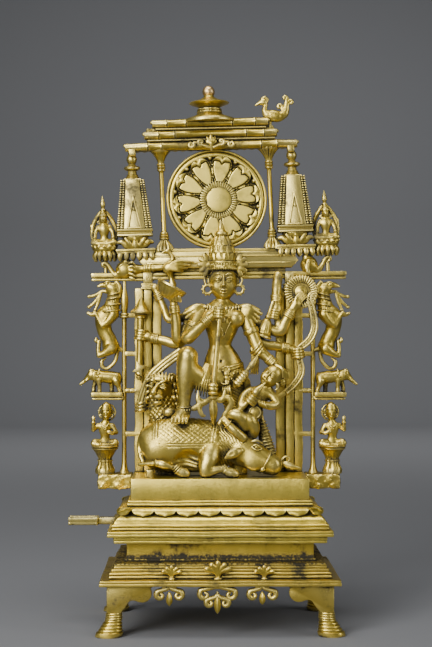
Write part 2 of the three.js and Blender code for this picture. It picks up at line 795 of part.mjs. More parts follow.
function roof() {
  const deep = roofDepth / 2;
  const r = bambooRadius;
  const [low, middle, high] = [roofHalf, roofHalf * 0.77, roofHalf * 0.675];
  const z = (row, part) => roofLevel + roofStep * row + r * part;
  const half = [
    [0, z(0, -0.8)], [towerX - 4.2, z(0, -0.8)], [towerX - 4.2, z(0, -2)], [towerX + 2.4, z(0, -2)],
      [low, z(0, -0.8)],
    [low, z(0, 0.85)], [middle, z(0, 0.85)], [middle, z(1, 0.85)], [high, z(1, 0.85)],
      [high, z(2, 0.6)], [0, z(2, 0.6)],
  ];
  const stack = plate([...half, ...half.slice(1, -1).reverse().map(([x, level]) => [-x, level])], -4.4,
    deep - 3);
  const poles = [low - 12, middle - 1,
    high - 1].map((length, i) => bamboo(length, 1.6 * i - 6.5, z(i, 0), [-0.5, 0.5]));
  return [stack, ...poles];
}

function roofScroll() {
  const y = -12.5;
  const z = roofLevel + 2;
  const scroll = sweep([[1, y, z - 6], [13, y, z - 5], [25, y, z], [20, y, z + 5]],
    [2.2, 2.4, 2.2, 1.8], { sides: 3 });
  return [...bothSides([scroll, bud([5, y, z - 5], [11, y, z + 9], 8, 5)]),
    bud([0, y + 1, z + 12], [0, y, z - 9], 8, 8)];
}

function finial() {
  const h = finialHeight;
  const z = roofLevel + 2 * roofStep + bambooRadius - 1;
  const profile = [
    [26.5, z - 1], [26, z + 0.05 * h], [12, z + 0.2 * h], [12, z + 0.34 * h], [20, z + 0.52 * h],
    [4.5, z + 0.7 * h], [6.4, z + 0.86 * h], [1, z + 1.01 * h],
  ];
  return [turned([0, 0, 0], profile, 7)];
}

// A peacock facing inwards, counted from the foot of its post
function peacock() {
  const thin = { sides: 3 };
  const spine = [[14, 0, 13], [5, 0, 15.5], [-2, 0, 18], [-4, 0, 24], [-1, 0, 30], [-6, 0, 30],
    [-13, 0, 26.5]];
  const plumes = [[[5, 0, 17], [12, 0, 21], [7, 0, 27]], [[8, 0, 17], [16, 0, 23], [13, 0, 34]],
    [[10, 0, 16], [19, 0, 19], [22, 0, 29]]];
  return [
    lofted([[0, 0, -3, 4.8, 4.8], [0, 0, 1, 4.6, 4.6], [0, 0, 3, 2, 2], [0, 0, 15, 2, 2]], 4),
    sweep(spine, [1.6, 5, 4.4, 2.2, 3, 2.6, 0.6], { sides: 4 }),
    ...plumes.map((plume) => sweep(plume, [3, 2.6, 1.7], thin)),
  ];
}

// The wheel is one cast disc: rim, ten pointed petals raised from a sunk floor, and a boss
function wheel() {
  const r = wheelRadius;
  const half = wheelThickness / 2;
  const rings = [[1, half], [1, -half], [0.87, -half], [0.85, 0, -half], [0.62, 0, -2 * half],
    [0.36, 0, 0], [0.34, -half], [0.2, -2 * half]];
  const spokes = 2 * petalCount;
  const position = [0, half, 0, 0, -2 * half, 0];
  const index = [];
  rings.forEach(([share, valley, crest = valley], ring) => {
    for (let i = 0; i < spokes; i++) {
      const angle = (2 * Math.PI * i) / spokes + wheelTurn;
      position.push(r * share * Math.cos(angle), i % 2 ? valley : crest, r * share * Math.sin(angle));
      const a = 2 + ring * spokes + i;
      const b = 2 + ring * spokes + ((i + 1) % spokes);
      if (ring === 0) index.push(0, b, a);
      if (ring === rings.length - 1) index.push(1, a, b);
      else index.push(a, b, b + spokes, a, b + spokes, a + spokes);
    }
  });
  const g = new THREE.BufferGeometry();
  g.setAttribute("position", new THREE.Float32BufferAttribute(position, 3));
  g.setIndex(index);
  return [g];
}

// Sinks the upper works to one side: they lean left and their right end stands higher
function settled(forms) {
  const lean = Math.tan(THREE.MathUtils.degToRad(leanDegrees));
  const tip = Math.tan(THREE.MathUtils.degToRad(tipDegrees));
  const shear = new THREE.Matrix4().set(1, 0, -lean, lean * leanPivot, 0, 1, 0, 0, tip, 0, 1, 0, 0, 0,
    0, 1);
  return forms.map((g) => g.clone().applyMatrix4(shear));
}

const upperWorks = settled([
  ...bothSides(moved(tower(), towerX, frameMid, 0)),
  ...moved([...colonette(wheelX - colonetteSpread), ...colonette(wheelX + colonetteSpread)], 0,
    frameMid, 0),
  ...moved([...roof(), ...roofScroll(), ...finial()], 0, frameMid, 0),
  ...moved(wheel(), wheelX, frameMid + 2, wheelLevel),
  ...moved(scaled(peacock(), peacockHeight / drawnPeacock), roofHalf * 0.7, frameMid - 4,
    roofLevel + roofStep + 2),
  ...bothSides(moved(scaled(pinnacle(), pinnacleHeight / drawnPinnacle), pinnacleX, frameMid,
    crossArmTop)),
  ...bothSides(moved(scaled(makara(), makaraHeight / drawnMakara), wingX, frameMid - 2, crossArmTop - 4)),
  ...bothSides(moved(mirrored(scaled(goose(), birdHeight / drawnBird)), wingX - 46, frameFace - 3,
    crossArmTop - 5)),
  ...bothSides([box(wingX - 2, wingX + 2, frameMid - 2, frameMid + 2, crossArmTop - 2,
    towerLevel - bowlHeight - 4)]),
]);

const wing = [
  ...pilaster(),
  ...crossArm(),
  ...wingPost(),
  ...[0.19, 0.43, 0.63, 0.84].map((share) => link(pilasterHeight * share)),
  ...wingBlock(),
  ...shelf(),
  ...moved(scaled(elephant(), elephantHeight / drawnElephant), wingX, frameMid,
    shelfLevel + shelfHeight - 0.5),
  ...moved(scaled(yali(), yaliHeight / drawnYali), wingX, frameMid,
    shelfLevel + shelfHeight + elephantHeight - 3),
  ...moved(pedestal(), wingX + pedestalFromPost, frameMid - 5, -1),
  ...moved(scaled(attendant(), seatedHeight / drawnSeated), wingX + pedestalFromPost, frameMid - 5,
    pedestalHeight - 1.5),
];
const backFrame = named(
  "back_frame",
  joined(moved([...bothSides(wing), ...lintel(), ...upperWorks], 0, 0, blockTop)),
  brass,
);

// Figure group: drawn 255 tall, heights counted from the top of the block, scaled to its own height
const drawnHeight = 255;

// A limb that ends in a wrist with a bangle and a closed hand
function arm(points, radii, hand, handSize = 4.6) {
  const wrist = vec(points[points.length - 1]);
  const elbow = vec(points[points.length - 2]);
  const r = radii[radii.length - 1];
  const bangle = wrist.clone().lerp(elbow, 0.22);
  const beyond = vec(hand).sub(wrist).normalize().multiplyScalar(handSize).add(vec(hand));
  return sweep(
    [...points.slice(0, -1), [...bangle], [...wrist], hand, [...beyond]],
    [...radii.slice(0, -1), r * 1.5, r * 1.1, handSize * 1.1, handSize * 0.7],
    { sides: 4, axis: [0, 1, 0.01] },
  );
}

function goddessBody() {
  const figure = lofted([
    [8, -3, 70, 16, 10], [4.3, -4.5, 102, 20, 14], [4.3, -4.5, 111, 19.6, 13.6], [3, -5, 118, 14.6, 10.5],
    [0.5, -5, 131, 11.6, 9], [1.5, -6, 142, 13.8, 10], [2.5, -6, 155, 18.4, 11.5],
      [2.5, -4, 167, 21.5, 9],
    [3.4, -5, 174, 6, 5.6], [4.2, -8, 177, 6, 6], [4, -8.4, 186, 12, 11.6], [3.8, -7, 200, 13.8, 12.8],
    [3.4, -6, 205, 14.8, 13.8], [3.2, -6, 217, 14.6, 13.6], [2.4, -6, 230, 10.8, 10.2],
      [1.6, -6, 240, 5.6, 5.6],
    [1.4, -6, 243, 7, 7], [0.6, -6, 255, 1, 1],
  ], 7);
  const fan = [-28, 28].map((degrees) => {
    const a = THREE.MathUtils.degToRad(degrees);
    return bud([12, -7, 210], [14.5 + 10.5 * Math.cos(a), -8, 211 + 11 * Math.sin(a)], 7, 4);
  });
  const tassel = bud([20, -5, 170], [33.5, -5, 160], 12, 6);
  const hoop = sweep([[12, -7, 201], [17.5, -8, 187], [17, -8, 179], [11, -8, 182]], [2.4, 2.2, 2, 2],
    { sides: 3 });
  return [
    figure,
    ...moved(bothSides([hoop, ...fan]), 3.4, 0, 0),
    ...moved(bothSides([tassel]), 1, 0, 0),
    ball([-7.5, -15, 150.5], 8.8, 7.6, 9, 5),
    ball([16.5, -15, 149], 9, 7.8, 9.2, 5),
    bud([4.2, -17.5, 199], [4.4, -20.6, 186], 4.8, 5),
    bud([6, -17, 111], [8, -20, 86], 10, 6),
  ];
}

function goddessLegs() {
  const shin = [
    [-34.4, -29, 58, 6.4, 7], [-34.4, -28.5, 69, 7.6, 7.6], [-34.2, -28, 74, 6.2, 6.4],
      [-34.6, -28, 96, 7.6, 8.2],
    [-33.6, -28.5, 117, 10.6, 10.4], [-32.4, -29, 126, 9.8, 9.6], [-31.6, -28, 131, 4, 4],
  ];
  return [
    sweep([[-5, -6, 103], [-18, -17, 114], [-33, -28, 121]], [14.6, 13.4, 10],
      { sides: 5, axis: [0, 0, 1] }),
    lofted(shin, 5),
    lofted([[-38.6, -33, 53, 10, 12], [-38.6, -33, 58, 9.6, 11.4], [-36.4, -31, 66, 6.6, 7.6]], 5),
    ...[-5, 3.6].map((x) => bud([x - 38.6, -38, 60], [x - 38.6, -44.5, 55], 8, 5)),
    lofted([[19, 3, -1, 9.6, 8.6], [19, 2, 40, 10, 9.6], [17, 0, 80, 13.6, 12.6], [9, -2, 104, 14, 11]],
      5),
    sweep([[-14, -14, 114], [-18, -19, 100], [-19.5, -18, 85]], [4.4, 6, 3.8], { sides: 3 }),
  ];
}

function goddessArms() {
  const tilt = THREE.MathUtils.degToRad(28);
  const bowl = turned([0, 0, 0], [[5, -11.5], [12.4, -6.5], [15.8, 0.6], [9, -4.5]], 6);
  return [
    arm([[-17.3, -4, 165], [-29.5, -20, 132], [-8, -29, 157]], [7.6, 5.8, 3.8], [1, -29.5, 162], 6.2),
    arm([[-18, 0, 163], [-42, -8, 137], [-45, -12, 168]], [6.6, 5.4, 3.7], [-45.5, -12, 175]),
    bowl.rotateY(tilt).translate(-47.4, -12, 187.4),
    arm([[-18, 3, 160], [-50.3, 2, 156.7], [-62, 11, 182]], [4.8, 4, 3], [-65, 13, 188], 3.2),
    arm([[-18, 2, 158], [-41, -4, 130], [-71, 5, 137]], [6.6, 5.2, 3.8], [-79, 8, 141], 5.6),
    arm([[24.5, -4, 162], [37, -12, 125], [53, -14, 109]], [7.6, 5.6, 3.8], [57, -14, 105], 4.6),
    arm([[22, 2, 158], [43, -1, 130], [71, 6, 126]], [6.6, 5, 3.7], [79.2, 9, 123], 5.6),
    arm([[22, 6, 156], [60.5, 4, 143], [72, 5, 164]], [5.6, 4.8, 3.7], [77, 6, 173], 5.2),
    arm([[58.5, 12, 194], [58, 9, 184], [57.5, 5, 171]], [4.6, 4.4, 3.8], [58, 3, 163], 4.8),
    sweep([[57, 2, 163], [54, 3, 144]], [4, 3], { sides: 4 }),
  ];
}

function weapons() {
  const y = -31;
  const flat = { sides: 3 };
  const pole = lofted([
    [-5.8, -24, 49, 0.8, 0.8], [-6, -28, 64, 4.2, 2.4], [-7, y, 77, 3.2, 3.2], [-6.6, y, 82, 5.4, 5.4],
    [-6.3, y, 90, 5, 5], [-5.8, y, 93, 2.7, 2.7], [0.6, y, 168, 2.5, 2.5],
  ], 4);
  const mace = lofted([
    [-80.6, 9, 100, 5.4, 3.4], [-80.6, 9, 107, 2.9, 2.4], [-80.6, 9, 114, 5.4, 3.4],
      [-80, 9, 118, 3.4, 3.4],
    [-78.8, 9, 157, 3.7, 3.7], [-78.6, 9, 162.5, 10.4, 6], [-78, 9, 169, 4.8, 3.8],
      [-77.4, 9, 178, 0.9, 0.9],
  ], 4);
  const bell = lofted([
    [44.4, 0, 139.4, 7.8, 7.6], [48, 0, 153, 4.8, 4.8], [49.5, 1, 158, 2.6, 2.6],
      [53.6, 2, 171, 2.2, 2.2],
  ], 5);
  const bow = [
    [98.5, 9, 178], [92, 9, 181], [93, 9, 168], [96.4, 9, 148], [90, 9, 133], [79.8, 9, 122],
      [83, 9, 104], [74, 9, 88],
    [55.6, 6, 75],
  ];
  const band = [[-37, -3, 127], [-54, 1, 112], [-66, 3, 101], [-75, 6, 86], [-81.4, 9, 62]];
  return [
    pole, mace, bell,
    sweep([[-7, y, 80], [-15, y, 72], [-21, y, 76], [-21.3, y, 84]], [2.2, 3, 2.6, 1], flat),
    sweep([[-17, y, 76], [-21, y, 70], [-31, y, 66]], [2.6, 2.6, 0.8], flat),
    sweep([[-7, y, 80], [3, y, 76], [5, y, 86]], [2.2, 3, 1], flat),
    sweep([[2, y, 77], [11, y, 74], [4, y + 1, 60], [2, -27, 50]], [2.2, 3.2, 2.6, 1.6], flat),
    sweep(bow, [1.8, 2.6, 3.2, 3.6, 3.6, 3.6, 3.6, 3.4, 1.8], flat),
    turned([0, 0, 0], [[16.7, -2], [16.7, 2]], 10).rotateX(Math.PI / 2).translate(83.1, 9, 183.3),
    sweep([[37.8, -20, 119.5], [31, -21, 109], [20, -22, 94]], [0.8, 4, 3.8], flat),
    sweep(band, [4.4, 5.4, 6, 5.8, 5], { sides: 4, squash: 0.5 }),
  ];
}

function demon() {
  return [
    sweep([[22, -14, 36], [29, -16, 58], [37, -17, 72], [44, -16, 85]], [10.4, 9, 9.4, 8],
      { sides: 5, squash: 0.85 }),
    lofted([[47, -20, 88.5, 5, 5], [49, -19.5, 95, 9.6, 9], [51, -18, 103, 9.6, 9],
      [55, -15, 110, 4, 4]], 5),
    ball([61.5, -14, 101], 5, 5, 6.6, 5),
    arm([[45, -17, 83], [54, -27, 67], [40.5, -31, 72]], [6, 5, 3.6], [32, -32, 78], 5.4),
    bud([29, -33, 76], [44.5, -33, 92], 7, 6),
    ball([32, -24, 65], 8, 6, 7.4, 5),
    sweep([[4, -22, 62], [18, -25, 65], [38, -23, 60]], [5.4, 9, 7.4], { sides: 4 }),
    sweep([[2.6, -29, 68], [18, -31, 52], [25, -29, 38]], [3.4, 5.8, 5], { sides: 3 }),
    sweep([[38, -12, 82], [27, -21, 93], [22, -22, 98]], [5, 4.2, 6], { sides: 3 }),
  ];
}

function lion() {
  const tufts = [140, 80, 20].map((degrees) => {
    const a = THREE.MathUtils.degToRad(degrees);
    const from = [-57 + 5 * Math.cos(a), -9, 92 + 5 * Math.sin(a)];
    return bud(from, [-57 + 15 * Math.cos(a), -8, 90 + 14.5 * Math.sin(a)], 9, 9);
  });
  return [
    sweep([[-57, -5, 88], [-54, 0, 50], [-50, 4, -1]], [12, 13.6, 10.6], { sides: 5, squash: 0.8 }),
    lofted([[-60.5, -20, 74, 6, 6], [-60, -16, 80, 9.8, 9.8], [-58, -12, 89, 12.4, 11.4],
      [-56, -8, 101, 4.5, 4.5]], 5),
    ball([-46, -5, 79], 8.8, 8.4, 15, 5),
    ...tufts,
  ];
}

function buffalo() {
  const spine = [
    [-83, -14, 30], [-76, -15, 31], [-67.5, -15.6, 31], [-66, -15.8, 31], [-52, -16, 31],
      [-24, -16, 29.5],
    [-6, -15.6, 27.6], [-4.5, -15.6, 27.4], [26, -14, 24],
  ];
  const radii = [5, 13.5, 15.6, 17, 18.2, 18.2, 16.6, 15.4, 10];
  const hoof = (x, y) => lofted([[x, y, -1, 7, 5.4], [x - 1, y, 9.5, 4.4, 3.8]], 4);
  const head = [[8, -15, 38], [22, -20, 36], [34, -25, 29], [46, -28, 17], [62, -29, 7]];
  return [
    sweep(spine, radii, { sides: 7, axis: [0, 0, 1], squash: 1.56 }),
    ball([-60, -25, 22], 17, 9, 15, 5),
    sweep([[-79, -29, 14], [-58, -36, 14], [-40, -38, 8]], [3.4, 5.4, 3.6], { sides: 4 }),
    hoof(-36, -38.5),
    box(-71, -60, -34, -24, -1, 9),
    sweep([[-14, -26, 30], [-11, -32, 16], [-8, -37, 5]], [10, 8, 5.8], { sides: 4 }),
    sweep([[-9, -37, 5], [10, -38, 6]], [5.8, 4.2], { sides: 3 }),
    hoof(14, -38.5),
    sweep(head, [12, 12.8, 13.2, 9.8, 5.4], { sides: 6, axis: [0, 0, 1], squash: 1.05 }),
    box(42, 56, -34, -24, -1, 5),
    bud([26, -31, 27], [7, -33, 19], 12, 5),
    sweep([[54, -16, 30], [44, -13, 46], [37, -13, 61]], [8, 6, 2.6], { sides: 4 }),
    sweep([[50, -20, 22], [64, -18, 9], [79, -22, 14]], [5.4, 4.4, 1], { sides: 3 }),
    sweep([[-78, -18, 48], [-85, -20, 30], [-76, -28, 13]], [2.4, 2.4, 2.6], { sides: 3 }),
  ];
}

const figures = joined([
  ...goddessBody(), ...goddessLegs(), ...goddessArms(), ...weapons(), ...demon(), ...lion(), ...buffalo(),
]);
const widerThanPart = 200;
const deeperThanFeet = 60;
const below = toSolid(box(-widerThanPart, widerThanPart, -widerThanPart, widerThanPart, -deeperThanFeet, 0));
const durga = named("durga_group", figures.subtract(below), palerBrass);
const figureScale = figureHeight / drawnHeight;
durga.geometry.scale(figureScale, figureScale, figureScale);
durga.position.z = blockTop;

const part = new THREE.Group();
part.add(stand, plinth, backFrame, durga);
const bounds = new THREE.Box3().setFromObject(part);
const middle = bounds.getCenter(new THREE.Vector3());
part.position.set(-middle.x, -middle.y, -bounds.min.z);

export default part;
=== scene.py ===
# Brass altar group: the many-armed goddess over the buffalo demon with her lion, on a spouted lotus
# plinth, before an openwork back frame with a lotus wheel, all on a stand with four feet.
# Drawn in millimetres about the middle of the stand, with the floor at 0 and the front facing -Y.
import math

import bpy
import numpy as np
import openvdb
from mathutils import Euler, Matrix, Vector
from mathutils.geometry import tessellate_polygon


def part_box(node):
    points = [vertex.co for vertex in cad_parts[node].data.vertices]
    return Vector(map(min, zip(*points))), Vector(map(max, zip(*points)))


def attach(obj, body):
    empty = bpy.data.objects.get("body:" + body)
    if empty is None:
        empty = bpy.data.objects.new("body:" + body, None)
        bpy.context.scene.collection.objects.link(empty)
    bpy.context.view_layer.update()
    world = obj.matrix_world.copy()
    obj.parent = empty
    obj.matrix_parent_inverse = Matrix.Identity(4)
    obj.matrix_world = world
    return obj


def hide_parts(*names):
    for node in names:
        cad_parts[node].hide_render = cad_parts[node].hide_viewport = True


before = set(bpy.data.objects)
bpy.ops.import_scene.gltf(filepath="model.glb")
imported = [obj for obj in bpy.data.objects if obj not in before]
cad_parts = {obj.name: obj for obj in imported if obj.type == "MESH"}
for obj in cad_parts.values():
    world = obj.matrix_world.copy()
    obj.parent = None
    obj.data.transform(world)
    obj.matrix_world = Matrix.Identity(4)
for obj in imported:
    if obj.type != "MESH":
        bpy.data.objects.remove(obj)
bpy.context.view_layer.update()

# Studio: a grey paper sweep under and behind the group, big soft panels on both sides and above, and
# a long lens at the height of the goddess's knees, a little to the left of the middle.
FOCAL_PIXELS = 1350
FRAME_PIXELS = 647
camera = bpy.data.objects.new("camera", bpy.data.cameras.new("camera"))
camera.data.sensor_fit = "AUTO"
camera.data.sensor_width = 36
camera.data.lens = 36 * FOCAL_PIXELS / FRAME_PIXELS
camera.location = (-0.0227, -1.350, 0.283)
aim = Vector((0.0008, 0, 0.2985))
camera.rotation_euler = (aim - camera.location).to_track_quat("-Z", "Y").to_euler()
bpy.context.scene.collection.objects.link(camera)
bpy.context.scene.camera = camera

paper = bpy.data.materials.new("paper")
paper.use_nodes = True
paper.node_tree.nodes["Principled BSDF"].inputs["Base Color"].default_value = (0.155, 0.158, 0.165, 1)
paper.node_tree.nodes["Principled BSDF"].inputs["Roughness"].default_value = 0.9
bend = [(3.0 + 0.7 * math.sin(a), 0.7 - 0.7 * math.cos(a)) for a in np.linspace(0, math.pi / 2, 14)]
sweep_profile = [(-4.0, 0.0)] + bend + [(3.7, 5.0)]
sweep_points = [(x, y, z) for y, z in sweep_profile for x in (-4.0, 4.0)]
sweep_faces = [(2 * i, 2 * i + 1, 2 * i + 3, 2 * i + 2) for i in range(len(sweep_profile) - 1)]
sweep_mesh = bpy.data.meshes.new("paper_sweep")
sweep_mesh.from_pydata(sweep_points, [], sweep_faces)
sweep_mesh.polygons.foreach_set("use_smooth", [True] * len(sweep_faces))
sweep_mesh.materials.append(paper)
paper_sweep = bpy.data.objects.new("paper_sweep", sweep_mesh)
bpy.context.scene.collection.objects.link(paper_sweep)


def soft_panel(name, place, size, power, target=(0, 0, 0.3)):
    light = bpy.data.lights.new(name, "AREA")
    light.shape = "RECTANGLE"
    light.size, light.size_y = size
    light.energy = power
    lamp = bpy.data.objects.new(name, light)
    lamp.location = place
    lamp.rotation_euler = (Vector(target) - lamp.location).to_track_quat("-Z", "Y").to_euler()
    bpy.context.scene.collection.objects.link(lamp)


soft_panel("panel_left", (-0.95, -1.25, 0.95), (0.7, 1.0), 31)
soft_panel("panel_right", (1.35, -0.75, 0.8), (0.5, 1.1), 6.5)
soft_panel("panel_front", (-0.5, -2.1, 0.75), (1.0, 0.9), 12.5)
soft_panel("panel_above", (-0.1, -0.25, 1.6), (0.9, 0.6), 13)
soft_panel("panel_backdrop", (0.2, 2.0, 1.5), (2.4, 0.5), 26, (0, 3.4, -0.4))
world = bpy.data.worlds.new("room")
world.use_nodes = True
world.node_tree.nodes["Background"].inputs["Color"].default_value = (0.75, 0.78, 0.82, 1)
world.node_tree.nodes["Background"].inputs["Strength"].default_value = 0.12
bpy.context.scene.world = world

# Slab of the stand: one heavy brass casting, a plain slab with rolls and steps drawn in to the neck
# that the plinth sits on. Its long edges are filed by hand, so that they waver slightly.
STAND_WIDTH, STAND_DEPTH = 230, 147
NECK_TOP = 87.8
stand_low, stand_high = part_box("stand")
MIDDLE_X = (stand_low[0] + stand_high[0]) / 2
LEAN, TIP, LEAN_PIVOT = math.tan(math.radians(2.7)), math.tan(math.radians(1.6)), 167
BLOCK_TOP = 148
SHARP = math.radians(48)


def waver(points, size):
    """Hand-made unevenness: each point drifts by slow waves along the other two directions."""
    x, y, z = points[:, 0], points[:, 1], points[:, 2]
    drift = np.stack([
        np.sin(0.11 * z + 1.3 * np.sin(0.05 * y + 1)) + 0.5 * np.sin(0.41 * z + 0.23 * y),
        np.sin(0.09 * x + 0.13 * z) + 0.5 * np.sin(0.37 * x + 1.7),
        np.sin(0.07 * x + 0.8 + 0.11 * y) + 0.5 * np.sin(0.31 * x + 0.43 * y),
    ], 1)
    return points + size * drift


class Casting:
    """Closed brass shells in millimetres that are cast as one object."""

    def __init__(self):
        self.shells = []

    def take(self, points, quads, tris):
        points = np.asarray(points, float).reshape(-1, 3)
        quads = np.asarray(quads, int).reshape(-1, 4)
        tris = np.asarray(tris, int).reshape(-1, 3)
        fans = np.vstack([tris, quads[:, [0, 1, 2]], quads[:, [0, 2, 3]]])
        a, b, c = (points[fans[:, i]] for i in range(3))
        if np.einsum("ij,ij->", a - points[0], np.cross(b - points[0], c - points[0])) < 0:
            quads, tris = quads[:, ::-1], tris[:, ::-1]
        self.shells.append((points, quads, tris))
        return self

    def skin(self, rings):
        """A closed shell over rings of points, with both ends filled."""
        rings = np.asarray(rings, float)
        rows, around = rings.shape[:2]
        i, j = np.arange(rows - 1)[:, None], np.arange(around)[None, :]
        a, b = i * around + j, i * around + (j + 1) % around
        quads = np.stack([a, b, b + around, a + around], -1)
        n, last = rows * around, (rows - 1) * around
        j, k = np.arange(around), (np.arange(around) + 1) % around
        first_end = np.stack([k, j, np.full(around, n)], 1)
        other_end = np.stack([j + last, k + last, np.full(around, n + 1)], 1)
        points = np.vstack([rings.reshape(-1, 3), rings[0].mean(0), rings[-1].mean(0)])
        return self.take(points, quads, np.vstack([first_end, other_end]))

    def add(self, other):
        self.shells += other.shells
        return self

    def moved(self, change):
        """A copy with each shell's points passed through a function."""
        copy = Casting()
        for points, quads, tris in self.shells:
            copy.take(change(points), quads, tris)
        return copy

    def placed(self, x, y, z, scale=1, flip=False):
        return self.moved(lambda p: p * [-scale if flip else scale, scale, scale] + [x, y, z])

    def settled(self):
        """The upper works have sunk to one side: they lean left and their right end stands higher."""
        def sink(p):
            x, y, h = p.T
            return np.stack([x - LEAN * (h - BLOCK_TOP - LEAN_PIVOT), y, h + TIP * x], 1)
        return self.moved(sink)

    def pour(self, name, node, slot, finish):
        points = (np.vstack([p for p, q, t in self.shells]) + [MIDDLE_X * 1000, 0, 0]) / 1000
        firsts = np.cumsum([0] + [len(p) for p, q, t in self.shells])
        quads = np.vstack([q + first for (p, q, t), first in zip(self.shells, firsts)])
        tris = np.vstack([t + first for (p, q, t), first in zip(self.shells, firsts)])
        mesh = bpy.data.meshes.new(name)
        mesh.vertices.add(len(points))
        mesh.vertices.foreach_set("co", points.astype(np.float32).ravel())
        mesh.loops.add(quads.size + tris.size)
        mesh.loops.foreach_set("vertex_index", np.concatenate([quads.ravel(), tris.ravel()]).astype(np.int32))
        mesh.polygons.add(len(quads) + len(tris))
        starts = np.concatenate([np.arange(len(quads)) * 4, quads.size + np.arange(len(tris)) * 3])
        mesh.polygons.foreach_set("loop_start", starts.astype(np.int32))
        mesh.polygons.foreach_set("use_smooth", np.ones(len(starts), bool))
        mesh.update(calc_edges=True)
        mesh.validate()
        mesh.set_sharp_from_angle(angle=SHARP)
        mesh.materials.append(finish)
        piece = bpy.data.objects.new(name, mesh)
        bpy.context.scene.collection.objects.link(piece)
        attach(piece, "root")
        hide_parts(node)


def step(inset, low, high, soft=0.5):
    """A square course of a moulding with softened edges, as [inset, height] pairs."""
    return [(inset + soft, low), (inset + 0.2 * soft, low + 0.3 * soft), (inset, low + soft),
            (inset, high - soft), (inset + 0.2 * soft, high - 0.3 * soft), (inset + soft, high)]


def roll(inset, low, high, bulge):
    """A half-round course, as [inset, height] pairs."""
    return [(inset + bulge * (1 - math.cos(a)), (low + high) / 2 + (high - low) / 2 * math.sin(a))
            for a in np.linspace(-math.pi / 2, math.pi / 2, 9)]


def rounded_rectangle(half_x, half_y, corner, spacing, steps=6):
    """Points round a rectangle with rounded corners, the same number for every size of it."""
    points = []
    corners = [(1, -1, -90), (1, 1, 0), (-1, 1, 90), (-1, -1, 180)]
    for n, (sx, sy, start) in enumerate(corners):
        for a in np.radians(start + np.linspace(0, 90, steps)):
            points.append((sx * (half_x - corner) + corner * math.cos(a),
                           sy * (half_y - corner) + corner * math.sin(a)))
        tx, ty, turn = corners[(n + 1) % 4]
        a = math.radians(turn)
        end = (tx * (half_x - corner) + corner * math.cos(a), ty * (half_y - corner) + corner * math.sin(a))
        begin = points[-1]
        for share in np.arange(1, spacing[n % 2]) / spacing[n % 2]:
            points.append((begin[0] + (end[0] - begin[0]) * share, begin[1] + (end[1] - begin[1]) * share))
    return np.array(points)


def moulding(casting, width, depth, courses, corner=1.2, gap=4.0, uneven=0.12):
    counts = (int(depth / gap), int(width / gap))
    rings = []
    for inset, height in courses:
        flat = rounded_rectangle(width / 2 - inset, depth / 2 - inset, corner, counts)
        ring = np.column_stack([flat, np.full(len(flat), height)])
        rings.append(waver(ring, uneven))
    casting.skin(rings)


